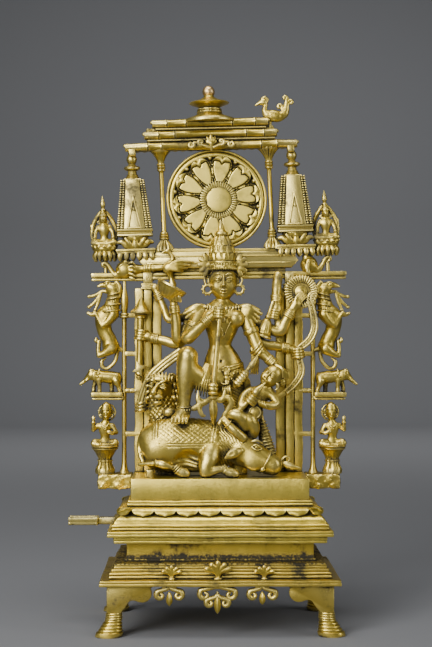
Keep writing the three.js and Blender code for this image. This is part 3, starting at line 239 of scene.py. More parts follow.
def brass(name, body, tarnish_and_shade, worn, hollow=5.0, shine=0.3, age=0.5, shade_band=None):
    """Old polished brass: bright on the worn edges where hands and cloths reach, dull dark tarnished in mottled
    stains; its hollows, creases and the gaps between parts are darkened partly as real patina and partly as painted
    shade, and an optional band of heights is darkened as painted shade.
    """
    material = bpy.data.materials.new(name)
    material.use_nodes = True
    nodes, links = material.node_tree.nodes, material.node_tree.links
    shader = nodes["Principled BSDF"]
    place = nodes.new("ShaderNodeTexCoord").outputs["Object"]

    def number(operation, *values):
        node = nodes.new("ShaderNodeMath")
        node.operation = operation
        node.use_clamp = operation != "SUBTRACT"
        for socket, value in zip(node.inputs, values):
            if isinstance(value, (int, float)):
                socket.default_value = value
            else:
                links.new(value, socket)
        return node.outputs[0]

    def spread(value, low, high, to_low=0.0, to_high=1.0):
        node = nodes.new("ShaderNodeMapRange")
        node.interpolation_type = "SMOOTHSTEP"
        for socket, setting in zip(node.inputs[1:5], (low, high, to_low, to_high)):
            socket.default_value = setting
        links.new(value, node.inputs[0])
        return node.outputs[0]

    def mottle(scale, detail, rough=0.6):
        node = nodes.new("ShaderNodeTexNoise")
        node.inputs["Scale"].default_value = scale
        node.inputs["Detail"].default_value = detail
        node.inputs["Roughness"].default_value = rough
        links.new(place, node.inputs["Vector"])
        return node.outputs[0]

    def blended(share, first, second):
        node = nodes.new("ShaderNodeMix")
        node.data_type = "RGBA"
        links.new(share, node.inputs[0])
        for socket, colour in ((node.inputs[6], first), (node.inputs[7], second)):
            if isinstance(colour, tuple):
                socket.default_value = (*colour, 1)
            else:
                links.new(colour, socket)
        return node.outputs[2]

    # Painted shade: ambient occlusion and the concave creases found by pointiness darken the colour towards the dark
    # colour in hollows, creases and between parts, partly as real patina and partly as painted shade.
    shade_occlusion = nodes.new("ShaderNodeAmbientOcclusion")
    shade_occlusion.samples = 8
    shade_occlusion.inputs["Distance"].default_value = hollow / 1000
    unshaded_share = spread(shade_occlusion.outputs["AO"], 0.30, 0.86)
    clouds = mottle(45, 4)
    specks = mottle(420, 5, 0.7)
    edges = nodes.new("ShaderNodeNewGeometry").outputs["Pointiness"]
    ridge = spread(edges, 0.505, 0.57)
    groove = spread(edges, 0.44, 0.495, 1, 0)
    closed = number("SUBTRACT", 1.0, unshaded_share)
    stain = number("MULTIPLY", spread(clouds, 0.5, 0.72), age)
    dirt_and_painted_shade = number("ADD", number("ADD", closed, number("MULTIPLY", groove, 0.55)), stain)
    dirt_and_painted_shade = number("MULTIPLY", dirt_and_painted_shade, spread(specks, 0.25, 0.6, 0.65, 1.1))
    # Painted shade: the optional band of heights is darkened; on the stand it is the top tier and lower neck, under
    # the plinth's overhang.
    if shade_band:
        height = nodes.new("ShaderNodeSeparateXYZ")
        links.new(place, height.inputs[0])
        foot = number("MULTIPLY", spread(height.outputs[2], *shade_band[:2]), spread(height.outputs[2], *shade_band[2:], 1, 0))
        dirt_and_painted_shade = number("ADD", dirt_and_painted_shade, number("MULTIPLY", foot, spread(specks, 0.36, 0.6, 0.25, 1)))
    clean = blended(spread(clouds, 0.35, 0.65), body, tuple(0.86 * c for c in body))
    clean = blended(number("MULTIPLY", ridge, 0.8), clean, worn)
    colour = blended(dirt_and_painted_shade, clean, tarnish_and_shade)
    links.new(colour, shader.inputs["Base Color"])
    links.new(spread(dirt_and_painted_shade, 0.1, 1.0, 1.0, 0.35), shader.inputs["Metallic"])
    gloss = number("ADD", spread(dirt_and_painted_shade, 0.0, 0.9, shine, 0.62), spread(specks, 0.3, 0.75, 0.0, 0.12))
    links.new(gloss, shader.inputs["Roughness"])
    bump = nodes.new("ShaderNodeBump")
    bump.inputs["Strength"].default_value = 0.35
    bump.inputs["Distance"].default_value = 0.0004
    links.new(specks, bump.inputs["Height"])
    links.new(bump.outputs["Normal"], shader.inputs["Normal"])
    return material


# The last four values give the band of heights, the stand's top tier and lower neck under the plinth's overhang, that
# is darkened as painted shade.
STAND_BRASS = brass("stand_brass", (0.72, 0.51, 0.065), (0.030, 0.025, 0.012), (0.97, 0.77, 0.20), 10, 0.30, 0.9,
                    (0.0655, 0.0685, 0.0725, 0.0795))
slab = Casting()
slab_courses = (
    [(30, 49.4), (1.2, 49.0)] + step(0.0, 49.0, 51.9) + step(0.45, 51.9, 54.4) + [(8.5, 54.7)]
    + roll(8.5, 54.8, 58.2, 1.8) + roll(8.9, 58.2, 61.2, 1.6) + step(11.0, 61.3, 63.9)
    + step(13.0, 64.0, 66.2) + step(13.4, 66.3, 68.7) + [(22.3, 69.4)] + step(22.5, 69.6, 71.8)
    + [(24.2, 72.2), (24.6, 76), (24.7, 82), (24.4, 86), (24.3, NECK_TOP)]
)
moulding(slab, STAND_WIDTH - 0.4, STAND_DEPTH - 0.5, slab_courses, 1.0, 4.0, 0.14)
slab.pour("stand_slab", "stand", "stand_brass", STAND_BRASS)

# Legs of the stand: four square posts cast with the slab, each with lobed brackets on its two outer
# faces, a collar of three tilted rings, and a ribbed hoof-like foot that flares outwards.
POST_OUT_X, POST_OUT_Y = 108, 66.5
POST = 13
FOOT_TOP, FOOT_SIDES = 17, 48


def smooth_path(points, radii, fine):
    """Points and radii along a Catmull-Rom curve through the given ones."""
    knots = np.asarray(points, float)
    radii = np.full(len(knots), float(radii)) if np.isscalar(radii) else np.asarray(radii, float)
    if len(radii) != len(knots):
        radii = np.interp(np.linspace(0, 1, len(knots)), np.linspace(0, 1, len(radii)), radii)
    path = np.column_stack([knots, radii])
    padded = np.vstack([2 * path[0] - path[1], path, 2 * path[-1] - path[-2]])
    out = []
    for p0, p1, p2, p3 in zip(padded, padded[1:], padded[2:], padded[3:]):
        t = (np.arange(fine) / fine)[:, None]
        out.append(0.5 * (2 * p1 + (p2 - p0) * t + (2 * p0 - 5 * p1 + 4 * p2 - p3) * t**2
                          + (3 * p1 - p0 - 3 * p2 + p3) * t**3))
    out = np.vstack(out + [path[-1:]])
    return out[:, :3], np.maximum(out[:, 3], 0.05)


def rod(casting, points, radii, sides=12, flat=1.0, fine=5, axis=(0, 1, 0)):
    """A tapering rod along a smooth curve, with rounded ends; flat is its depth against its width."""
    path, r = smooth_path(points, radii, fine)
    along = np.gradient(path, axis=0)
    along /= np.linalg.norm(along, axis=1)[:, None]
    depth = np.asarray(axis, float) - (along @ np.asarray(axis, float))[:, None] * along
    depth /= np.linalg.norm(depth, axis=1)[:, None]
    side = np.cross(depth, along)
    turn = np.linspace(0, 2 * math.pi, sides, endpoint=False)[None, :, None]
    rings = (path[:, None] + r[:, None, None] * (np.cos(turn) * side[:, None]
             + flat * np.sin(turn) * depth[:, None]))
    ends = []
    for ring, centre, reach in ((rings[0], path[0], -along[0] * r[0]), (rings[-1], path[-1], along[-1] * r[-1])):
        ends.append([centre + (ring - centre) * s + reach * min(flat, 1) * c
                     for c, s in ((0.45, 0.9), (0.8, 0.6), (0.97, 0.22))])
    casting.skin(np.concatenate([ends[0][::-1], rings, ends[1]]))


def bar(casting, low, high, soft=0.6, axis=2, uneven=0.1, pitch=6.0):
    """A straight bar with softened edges between two corners, running along one axis."""
    low, high = np.array(low, float), np.array(high, float)
    across = [i for i in range(3) if i != axis]
    middle, half = (low + high) / 2, (high - low) / 2
    count = max(2, int((high - low)[axis] / pitch) + 1)
    places = np.concatenate([[0, 0.3 * soft, soft], np.linspace(soft, 2 * half[axis] - soft, count)[1:-1],
                             [2 * half[axis] - soft, 2 * half[axis] - 0.3 * soft, 2 * half[axis]]])
    shrink = [soft, 0.3 * soft, 0] + [0] * (len(places) - 6) + [0, 0.3 * soft, soft]
    rings = []
    for place, less in zip(places, shrink):
        flat = rounded_rectangle(half[across[0]] - less, half[across[1]] - less, soft, (1, 1), 4)
        ring = np.zeros((len(flat), 3))
        ring[:, across[0]], ring[:, across[1]] = flat[:, 0] + middle[across[0]], flat[:, 1] + middle[across[1]]
        ring[:, axis] = low[axis] + place
        rings.append(waver(ring, uneven))
    casting.skin(rings)


def plate(casting, outline, front, back, soft=0.7, swap=False):
    """A flat plate cut to an outline in X and Z, with softened edges; swap lays it in Y and Z."""
    outline = np.array(outline, float)
    around = np.roll(outline, -1, 0) - np.roll(outline, 1, 0)
    if np.sum(outline[:, 0] * np.roll(outline[:, 1], -1) - outline[:, 1] * np.roll(outline[:, 0], -1)) < 0:
        outline, around = outline[::-1], -around[::-1]
    inward = np.column_stack([-around[:, 1], around[:, 0]])
    inward /= np.linalg.norm(inward, axis=1)[:, None]
    rings = [(soft, front), (0.3 * soft, front + 0.3 * soft), (0, front + soft),
             (0, back - soft), (0.3 * soft, back - 0.3 * soft), (soft, back)]
    points = []
    for less, y in rings:
        flat = outline + inward * less
        level = np.full(len(flat), y)
        points.append(np.column_stack([flat[:, 0], level, flat[:, 1]]))
    n = len(outline)
    i, j = np.arange(len(rings) - 1)[:, None], np.arange(n)[None, :]
    a, b = i * n + j, i * n + (j + 1) % n
    quads = np.stack([a, a + n, b + n, b], -1).reshape(-1, 4)
    face = np.array(tessellate_polygon([[Vector((x, z, 0)) for x, z in (outline + inward * soft)]]))
    face_points = outline[face]
    turn = np.cross(face_points[:, 1] - face_points[:, 0], face_points[:, 2] - face_points[:, 0])
    face[turn < 0] = face[turn < 0][:, ::-1]
    tris = np.vstack([face, face[:, ::-1] + (len(rings) - 1) * n])
    points = np.vstack(points)
    if swap:
        points = points[:, [1, 0, 2]]
    casting.take(points, quads, tris)


def bracket_outline(out):
    """The lobed outline of a bracket whose post stands at a distance to the left."""
    lobes = [(46, 49), (42.2, 46.6), (42.7, 43), (42.5, 39.6), (41, 36.6), (38.2, 34.2), (34.6, 33), (30.6, 33.4),
             (27, 34.6), (23.6, 34.8), (21, 33.4), (19, 30.6), (16.8, 27.4), (14.6, 25), (13, 23)]
    curve, _ = smooth_path([(x, 0, z) for x, z in lobes[::-1]], 1.0, 3)
    return [(-out, 49), (-out, 23)] + [(-out + x, z) for x, y, z in curve]


def leg():
    """The leg at the front left: brackets, post, hoof-like foot and collar."""
    piece = Casting()
    plate(piece, bracket_outline(POST_OUT_X), -POST_OUT_Y, -POST_OUT_Y + 4, 0.8)
    plate(piece, bracket_outline(POST_OUT_Y - 0.5), -POST_OUT_X, -POST_OUT_X + 4, 0.8, swap=True)
    bar(piece, (-POST_OUT_X + 0.3, -POST_OUT_Y + 0.3, 22.5),
        (-POST_OUT_X + POST, -POST_OUT_Y + POST, 49.5), 1.0, 2, 0.2, 4)
    x, y = -POST_OUT_X + POST / 2, -POST_OUT_Y + POST / 2
    turn = np.linspace(0, 2 * math.pi, FOOT_SIDES, endpoint=False)
    profile = [(0, 0.93, 1.0)] + [(z, 1.0, 1.0) for z in (0.5, 2.4, 4.2)] + [(4.8, 0.93, 0.9)]
    for n in range(4):
        start = 5.2 + 3.0 * n
        wide, across = 0.88 - 0.085 * n, 0.93 - 0.05 * n
        profile += [(start, wide - 0.03, across - 0.03), (start + 0.5, wide, across),
                    (start + 1.3, wide + 0.01, across + 0.01), (start + 2.1, wide - 0.02, across - 0.02),
                    (start + 2.6, wide - 0.08, across - 0.07)]
    rings = []
    for z, along, across in profile:
        share = 1 - z / FOOT_TOP
        rx, ry = 13 * along, 9.5 * across
        cx, cy = x - 5.0 * share, y - 1.5 * share
        pinch = np.abs(np.cos(turn)) ** 0.85 * np.sign(np.cos(turn))
        rings.append(np.column_stack([cx + rx * pinch, cy + ry * np.sin(turn), np.full(FOOT_SIDES, z)]))
    piece.skin(rings)
    for n, z in enumerate((17.3, 19.6, 21.8)):
        r = 7.9 - 0.25 * n
        loop = [(x + r * math.cos(a) * 0.9, y + r * math.sin(a) * 0.9, z + 0.5 * math.cos(a + 0.5))
                for a in np.linspace(0, 2 * math.pi, 25)]
        rod(piece, loop, 1.25, 8, 1.0, 2, (0, 0, 1))
    ring = np.column_stack([x + 7 * np.cos(turn), y + 7 * np.sin(turn)])
    piece.skin([np.column_stack([ring, np.full(FOOT_SIDES, z)]) for z in (16.5, 23)])
    return piece


legs = Casting()
front_left = leg()
for sx in (1, -1):
    for sy in (1, -1):
        legs.add(front_left.moved(lambda p: p * [sx, sy, 1]))
legs.pour("stand_legs", "stand", "stand_brass", STAND_BRASS)

# Ornament of the stand's front: three palmettes modelled in wax against the tiers, and under the slab
# three pendants, each a pointed drop between scrolls that curl inwards.
SLAB_TOP = 54.5
PALMETTE_X = (-46.5, -2.5, 41.5)
PENDANT_Y = -68.5


class Wax:
    """A block of modelling wax on a grid, pressed and carved, then cast."""

    def __init__(self, low, high, cell):
        self.low, self.cell = np.array(low, float), cell
        counts = np.ceil((np.array(high) - self.low) / cell).astype(int) + 1
        self.axes = [self.low[i] + cell * np.arange(counts[i]) for i in range(3)]
        self.field = np.full(counts, 9.0, np.float32)

    def window(self, low, high, margin):
        spans = []
        for i in range(3):
            first = int((low[i] - margin - self.low[i]) / self.cell)
            last = int((high[i] + margin - self.low[i]) / self.cell) + 2
            spans.append(slice(max(first, 0), max(min(last, len(self.axes[i])), 0)))
        grids = [axis[span].reshape([-1 if i == k else 1 for k in range(3)])
                 for i, (axis, span) in enumerate(zip(self.axes, spans))]
        return tuple(spans), grids

    def press(self, form, blend=1.0):
        low, high, measure = form
        spans, (x, y, z) = self.window(low, high, blend + 2 * self.cell)
        old = self.field[spans]
        if old.size:
            new = measure(x, y, z)
            overlap = np.maximum(blend - np.abs(old - new), 0) / blend
            self.field[spans] = np.minimum(old, new) - overlap**2 * blend / 4
        return self

    def carve(self, form, blend=0.4):
        low, high, measure = form
        spans, (x, y, z) = self.window(low, high, blend + 2 * self.cell)
        old = self.field[spans]
        if old.size:
            new = -measure(x, y, z)
            overlap = np.maximum(blend - np.abs(old - new), 0) / blend
            self.field[spans] = np.maximum(old, new) + overlap**2 * blend / 4
        return self

    def score(self, low, high, relief):
        """Lines and texture: the surface inside a box is raised or sunk by a pattern."""
        spans, (x, y, z) = self.window(low, high, 0)
        if self.field[spans].size:
            self.field[spans] -= relief(x, y, z)
        return self

    def cast(self, easy=0.2):
        band = 3 * self.cell
        grid = openvdb.FloatGrid(band)
        grid.copyFromArray(np.clip(self.field, -band, band).astype(np.float32))
        points, tris, quads = grid.convertToPolygons(0.0, easy)
        points = np.asarray(points, float) * self.cell + self.low
        return Casting().take(points, quads, tris)


def limb(points, radii, flat=1.0, fine=5):
    """A tapering round or flattened form along a smooth curve."""
    path, r = smooth_path(points, radii, fine)
    reach = r.max() * max(1, flat)

    def measure(x, y, z):
        best = None
        for a, b, ra, rb in zip(path, path[1:], r, r[1:]):
            along = (b - a) / [1, flat, 1]
            px, py, pz = x - a[0], (y - a[1]) / flat, z - a[2]
            t = np.clip((px * along[0] + py * along[1] + pz * along[2]) / max(along @ along, 1e-6), 0, 1)
            off = np.sqrt((px - t * along[0])**2 + (py - t * along[1])**2 + (pz - t * along[2])**2)
            gap = off - ra - t * (rb - ra)
            best = gap if best is None else np.minimum(best, gap)
        return best * min(flat, 1)

    return path.min(0) - reach, path.max(0) + reach, measure


def egg(centre, radii, turn=(0, 0, 0)):
    """An ellipsoid, turned by degrees about X, Y and Z."""
    centre, radii = np.array(centre, float), np.array(radii, float)
    rows = np.array(Euler([math.radians(a) for a in turn]).to_matrix()).T
    reach = np.sqrt((rows.T**2 @ radii**2))

    def measure(x, y, z):
        x, y, z = x - centre[0], y - centre[1], z - centre[2]
        local = [row[0] * x + row[1] * y + row[2] * z for row in rows]
        near = np.sqrt(sum((c / r)**2 for c, r in zip(local, radii)))
        slope = np.sqrt(sum((c / r**2)**2 for c, r in zip(local, radii))) + 1e-6
        return near * (near - 1) / slope

    return centre - reach, centre + reach, measure


def brick(centre, half, soft=0.6, turn=(0, 0, 0)):
    """A block with rounded edges, turned by degrees about X, Y and Z."""
    centre, half = np.array(centre, float), np.array(half, float)
    rows = np.array(Euler([math.radians(a) for a in turn]).to_matrix()).T
    reach = np.abs(rows.T) @ half

    def measure(x, y, z):
        x, y, z = x - centre[0], y - centre[1], z - centre[2]
        over = [np.abs(row[0] * x + row[1] * y + row[2] * z) - h + soft for row, h in zip(rows, half)]
        outside = np.sqrt(sum(np.maximum(o, 0)**2 for o in over))
        inside = np.minimum(np.maximum(np.maximum(over[0], over[1]), over[2]), 0)
        return outside + inside - soft

    return centre - reach, centre + reach, measure


def hoop(centre, radius, thick, turn=(0, 0, 0), flat=1.0):
    """A ring lying in X and Y before it is turned; flat is its height against its width."""
    centre = np.array(centre, float)
    rows = np.array(Euler([math.radians(a) for a in turn]).to_matrix()).T
    reach = radius + thick * max(1, flat)

    def measure(x, y, z):
        x, y, z = x - centre[0], y - centre[1], z - centre[2]
        u, v, w = (row[0] * x + row[1] * y + row[2] * z for row in rows)
        return np.sqrt((np.sqrt(u**2 + v**2) - radius)**2 + (w / flat)**2) - thick

    return centre - reach, centre + reach, measure


def outline_gap(points, x, z):
    """Distance to a closed outline, negative inside."""
    points = np.asarray(points, float)
    best, inside = None, False
    for (ax, az), (bx, bz) in zip(points, np.roll(points, -1, 0)):
        ex, ez = bx - ax, bz - az
        px, pz = x - ax, z - az
        t = np.clip((px * ex + pz * ez) / max(ex * ex + ez * ez, 1e-9), 0, 1)
        d = (px - t * ex)**2 + (pz - t * ez)**2
        best = d if best is None else np.minimum(best, d)
        crosses = (az > z) != (bz > z)
        slope = ex / ez if ez else 0
        inside = inside ^ (crosses & (x < slope * (z - az) + ax))
    return np.where(inside, -1, 1) * np.sqrt(best)


def turned(centre, profile, flat=1.0):
    """A turned form standing at a point, from [radius, height] pairs."""
    centre = np.array(centre, float)
    outline = [(-0.5, profile[0][1])] + list(profile) + [(-0.5, profile[-1][1])]
    reach = max(r for r, z in profile)
    low = centre + [-reach, -reach * flat, profile[0][1]]
    high = centre + [reach, reach * flat, profile[-1][1]]

    def measure(x, y, z):
        x, y, z = x - centre[0], (y - centre[1]) / flat, z - centre[2]
        r = np.sqrt(x**2 + y**2)
        return outline_gap(outline, r, z + 0 * r)

    return low, high, measure


def spiral(centre, radius, start, sweep, y, end=0.3):
    """Points of a scroll in X and Z that curls inwards from its start angle."""
    turn = np.radians(np.linspace(start, start + sweep, 14))
    shrink = np.linspace(1, end, 14)
    return [(centre[0] + radius * s * math.cos(a), y, centre[1] + radius * s * math.sin(a))
            for a, s in zip(turn, shrink)]


def palmette(x, height):
    wax = Wax((x - height, -73, 52), (x + height, -56, 54.5 + height * 1.3), 0.42)
    foot = np.array([x, -66.8, SLAB_TOP + 0.6])
    for degrees in (-47, 47, -24, 24, 0):
        a = math.radians(degrees)
        tip = np.array([math.sin(a), -0.06, math.cos(a)]) * height * (0.98 - 0.08 * abs(a))
        lobe = [foot + [0, 0, 0.1 * height], foot + [0, 0, 0.26 * height] + 0.26 * tip, foot + 0.92 * tip]
        radii = np.array([0.09, 0.125, 0.15]) * height
        wax.press(limb(lobe, radii, 0.8), 0.15)
        for side in (-1, 1):
            across = side * 0.05 * height * np.array([math.cos(a), 0, -math.sin(a)])
            vein = [p - [0, r * 0.85, 0] + across * k for p, r, k in zip(lobe, radii, (0, 1, 1.5))]
            wax.carve(limb(vein, 0.4), 0.2)
    wax.press(egg((x, -67.4, SLAB_TOP + 1.0), (height * 0.24, 2.4, 1.6)), 0.6)
    return wax.cast()


def drop(casting, x, top, tip, half, thick=2.6):
    """A pointed drop with a ridge down its front."""
    turn = np.linspace(0, 2 * math.pi, 24, endpoint=False)
    rings = []
    for share in np.linspace(0, 1, 16):
        wide = half * (math.sin(math.pi * min(share / 0.62, 1) ** 0.8 * 0.5) if share < 0.62 else
                       math.cos(math.pi / 2 * ((share - 0.62) / 0.38)) ** 0.8) + 0.15
        ridge = 1 + 0.35 * np.exp(-(np.cos(turn) / 0.35)**2)
        rings.append(np.column_stack([x + wide * np.cos(turn),
                                      PENDANT_Y + thick * wide / half * np.sin(turn) * ridge * 0.8,
                                      np.full(24, top + (tip - top) * share)]))
    casting.skin(rings)


ornament = Casting()
for x, height in zip(PALMETTE_X, (12.8, 17, 12.8)):
    ornament.add(palmette(x, height))
for x, scrolls, tip, half in (
        (-48.6, [(8.5, 40.5, 5.0)], 30.0, 3.0),
        (-3.0, [(12.3, 41.0, 6.2), (7.4, 33.0, 4.4)], 22.6, 3.4),
        (39.5, [(8.8, 40.5, 5.2)], 31.2, 3.0)):
    for out, z, r in scrolls:
        for s in (-1, 1):
            path = spiral((out, z), r, 150, -400, PENDANT_Y, 0.28)
            path = [(0.6, PENDANT_Y, z + r + 3.0), (0.30 * out, PENDANT_Y, z + 0.9 * r + 1.5)] + path[3:]
            rod(ornament, [(x + s * px, py, pz) for px, py, pz in path], [1.9, 2.7, 2.7, 2.3, 1.8, 1.4], 10, 1.2, 4)
    drop(ornament, x, 44, tip, half)
    bar(ornament, (x - 7, -70.6, 46.4), (x + 7, -66.4, 49.6), 0.9, 0, 0.1, 3)
ORNAMENT_BRASS = brass("ornament_brass", (0.76, 0.55, 0.075), (0.030, 0.025, 0.012), (0.97, 0.78, 0.22), 7, 0.30, 0.6)
ornament.pour("stand_ornament", "stand", "stand_brass", ORNAMENT_BRASS)

# Plinth: a thick lotus moulding cast in one with the plain polished block on top of it, that the
# figures stand on. Broad overhanging petals run round it, with larger ones at the corners.
PLINTH_WIDTH, PLINTH_DEPTH = 216, 132.6
PLINTH_BRASS = brass("plinth_brass", (0.90, 0.67, 0.075), (0.035, 0.029, 0.014), (0.99, 0.81, 0.21), 9, 0.28, 0.46)
plinth = Casting()
plinth_courses = (
    [(20, NECK_TOP)] + step(6.0, NECK_TOP + 0.05, 90.4) + step(5.6, 90.5, 94.2, 0.7) + [(3, 94.5)]
    + step(0.0, 94.6, 97.4) + step(0.3, 97.4, 99.9) + [(3.6, 100.3)] + roll(4.0, 100.3, 103.4, 1.5)
    + roll(4.0, 103.4, 106.4, 1.5) + [(6.2, 106.7), (6.6, 108.4), (7.8, 110.4), (9.6, 112.2), (12.5, 113.6)]
    + [(15, 114.4), (17, 118), (20, 121.8)] + roll(18.0, 121.9, 124.7, 1.4) + roll(18.6, 124.7, 127.2, 1.2)
    + [(24, 127.4)]
)
moulding(plinth, PLINTH_WIDTH, PLINTH_DEPTH, plinth_courses, 1.4, 4.0, 0.16)
block_courses = [(6, 126.8)] + step(0.0, 127.0, BLOCK_TOP, 0.9) + [(4, BLOCK_TOP)]
moulding(plinth, 172.8, 89.4, block_courses, 1.0, 5.0, 0.1)
plinth.pour("plinth_block", "plinth", "plinth_brass", PLINTH_BRASS)


def lotus_petal(casting, x, y, out, width, reach):
    """One broad petal that rolls over the edge, facing an outward direction in plan."""
    rows, columns, thick = 11, 15, 1.1
    out = np.array(out, float) / np.linalg.norm(out)
    side = np.array([-out[1], out[0]])
    front, back = [], []
    for share in np.linspace(0, 1, rows):
        ahead = reach * (0.05 + 0.95 * math.sin(share * math.pi / 2 * 1.04))
        height = 121.4 - 0.9 * share - 7.2 * max(share - 0.3, 0)**1.7 / 0.7**1.7
        half = width / 2 * (1 if share < 0.6 else math.sqrt(max(1 - ((share - 0.6) / 0.402)**2, 0)))
        row_front, row_back = [], []
        for across in np.linspace(-1, 1, columns):
            lip = 0.55 * abs(across)**6 + (0.5 if share > 0.9 else 0) - 0.5 * across**2
            place = np.array([x, y]) + side * half * across + out * (ahead + 0.25 * lip - 0.5 * across**2)
            row_front.append((*place, height + 0.45 * lip))
            row_back.append((*(place - out * thick * (0.4 + share)), height + 0.45 * lip - thick * (1 - 0.5 * share)))
        front.append(row_front)
        back.append(row_back[::-1])
    casting.skin([a + b for a, b in zip(front, back)])


petals = Casting()
for n in range(8):
    for s in (-1, 1):
        lotus_petal(petals, (n - 3.5) * 21.15, s * (PLINTH_DEPTH / 2 - 20.5), (0, s), 21.0, 11.6)
for n in range(5):
    for s in (-1, 1):
        lotus_petal(petals, s * (PLINTH_WIDTH / 2 - 20.5), (n - 2) * 20.4, (s, 0), 20.2, 11.6)
for sx in (-1, 1):
    for sy in (-1, 1):
        lotus_petal(petals, sx * (PLINTH_WIDTH / 2 - 23), sy * (PLINTH_DEPTH / 2 - 23), (sx, sy), 17, 14.5)
petals.pour("plinth_petals", "plinth", "plinth_brass", PLINTH_BRASS)

# Spout: a grooved channel cast with the plinth, that carries off the water of the rites on the left.
spout = Wax((-152, -9, 96), (-98, 9, 109), 0.6)
spout.press(brick((-113, 0, 102.2), (13.5, 5, 3.4), 0.8), 0.5)
spout.press(brick((-135.4, 0, 102.3), (14.4, 7.4, 3.9), 1.0), 1.0)
spout.press(brick((-148.6, 0, 102.3), (1.3, 7.5, 4.0), 0.6), 0.4)
spout.press(brick((-121.6, 0, 102.3), (1.3, 7.5, 4.0), 0.6), 0.4)
spout.carve(brick((-136, 0, 106.6), (17, 4.2, 3.0), 1.2), 0.8)
spout.score((-152, -9, 96), (-98, 9, 109),
            lambda x, y, z: -0.5 * np.exp(-((z - 101.6) / 0.5)**2) * np.exp(-((np.abs(y) - 7.4) / 1.0)**2))
SPOUT_BRASS = brass("spout_brass", (0.42, 0.34, 0.10), (0.030, 0.025, 0.012), (0.62, 0.52, 0.22), 9, 0.33, 0.7)
spout.cast().pour("plinth_spout", "plinth", "plinth_brass", SPOUT_BRASS)

# Pilasters of the back frame: on each side a bright middle bar between two bars set back, the outer
# one left rough from the mould, with a panelled capital under the lintel.
FACE, BACK = 20, 30
DEEP = (FACE + BACK) / 2
FRAME_BRASS = brass("frame_brass", (0.70, 0.52, 0.085), (0.030, 0.025, 0.013), (0.96, 0.78, 0.24), 10, 0.30, 0.8)
TOP = BLOCK_TOP
LINTEL_LOW, LINTEL_HIGH = TOP + 207, TOP + 224


def pour_frame(casting, name, finish=FRAME_BRASS):
    casting.pour(name, "back_frame", "frame_brass", finish)


def both_sides(casting):
    """The casting and its mirror image."""
    return Casting().add(casting).add(casting.placed(0, 0, 0, 1, True))


def lathe(casting, foot, profile, sides=32, flutes=0, depth=0.0, fluted=(0, 0)):
    """A turned piece from [radius, height] pairs over its foot, fluted between two heights."""
    x, y, low = foot
    turn = np.linspace(0, 2 * math.pi, sides, endpoint=False)
    rings = []
    flute = depth * (np.abs(np.cos(flutes * turn / 2)) - 0.7)
    for r, z in profile:
        cut = 1 + (flute if flutes and fluted[0] <= z <= fluted[1] else 0)
        rings.append(np.column_stack([x + r * cut * np.cos(turn), y + r * cut * np.sin(turn),
                                      np.full(sides, low + z)]))
    casting.skin(rings)


pilasters = Casting()
bar(pilasters, (68, FACE, TOP - 0.4), (76, BACK, TOP + 187), 0.9, 2, 0.16)
bar(pilasters, (58.2, FACE + 3, TOP - 0.4), (67.4, BACK - 0.2, TOP + 187), 0.8, 2, 0.18)
bar(pilasters, (76.7, FACE + 3, TOP - 0.4), (85.4, BACK - 0.2, TOP + 187), 0.9, 2, 0.34, 3.2)
bar(pilasters, (60, BACK - 4, TOP), (84, BACK - 0.6, TOP + 186), 0.5, 2, 0.05)
for low, high, wide in ((185.4, 187.2, 7.0), (187.4, 189.4, 6.2), (189.5, 191.2, 6.8)):
    bar(pilasters, (72 - wide, FACE - 2, TOP + low), (72 + wide, BACK + 1, TOP + high), 0.6, 0, 0.08, 4)
bar(pilasters, (67.3, FACE - 1, TOP + 191), (76.7, BACK, TOP + 202.5), 0.6, 2, 0.1)
bar(pilasters, (68.6, FACE - 1.7, TOP + 192.4), (75.4, FACE + 1, TOP + 201.2), 0.5, 2, 0.1)
rod(pilasters, spiral((72, TOP + 197), 2.2, 90, -500, FACE - 1.9, 0.25), 0.6, 8)
pour_frame(both_sides(pilasters), "frame_pilasters")

# Lintel and cross arms: beams slotted over the pilasters, the main one with pointed ends, each cross
# arm a pair of strips with a groove between them.
lintel = Casting()
beam = [(-74, LINTEL_LOW), (74, LINTEL_LOW), (81, TOP + 214.5), (74, LINTEL_HIGH), (-74, LINTEL_HIGH),
        (-81, TOP + 214.5)]
plate(lintel, beam, FACE - 1, BACK, 1.2)
bar(lintel, (-73, FACE - 1.8, LINTEL_LOW + 4.2), (73, FACE, LINTEL_LOW + 6.2), 0.5, 0, 0.1)
bar(lintel, (-73, FACE - 1.8, LINTEL_HIGH - 5.6), (73, FACE, LINTEL_HIGH - 3.8), 0.5, 0, 0.1)
bar(lintel, (-68, FACE + 4, TOP + 197), (68, BACK - 0.5, TOP + 224), 0.6, 0, 0.1)
bar(lintel, (-68, FACE, TOP + 196), (68, BACK - 1, TOP + 199.2), 0.7, 0, 0.12)
bar(lintel, (-68, FACE + 0.4, TOP + 199.8), (68, BACK - 1, TOP + 203), 0.7, 0, 0.12)
bar(lintel, (-75, FACE + 0.4, TOP + 223.2), (75, BACK + 1, TOP + 227), 0.8, 0, 0.15)
for s in (-1, 1):
    for low, high, front in ((195.0, 197.4, 0.6), (198.4, 203, 0)):
        ends = sorted((s * 66, s * (130 - 0.8 * front)))
        bar(lintel, (ends[0], FACE + 1 + front, TOP + low), (ends[1], BACK - 1, TOP + high), 0.7, 0, 0.14, 4)
    ends = sorted((s * 66, s * 128.6))
    bar(lintel, (ends[0], FACE + 3, TOP + 196), (ends[1], BACK - 2, TOP + 201), 0.6, 0, 0.1)
pour_frame(lintel.moved(lambda p: p + np.outer(0.0105 * p[:, 0], [0, 0, 1])), "frame_lintel")

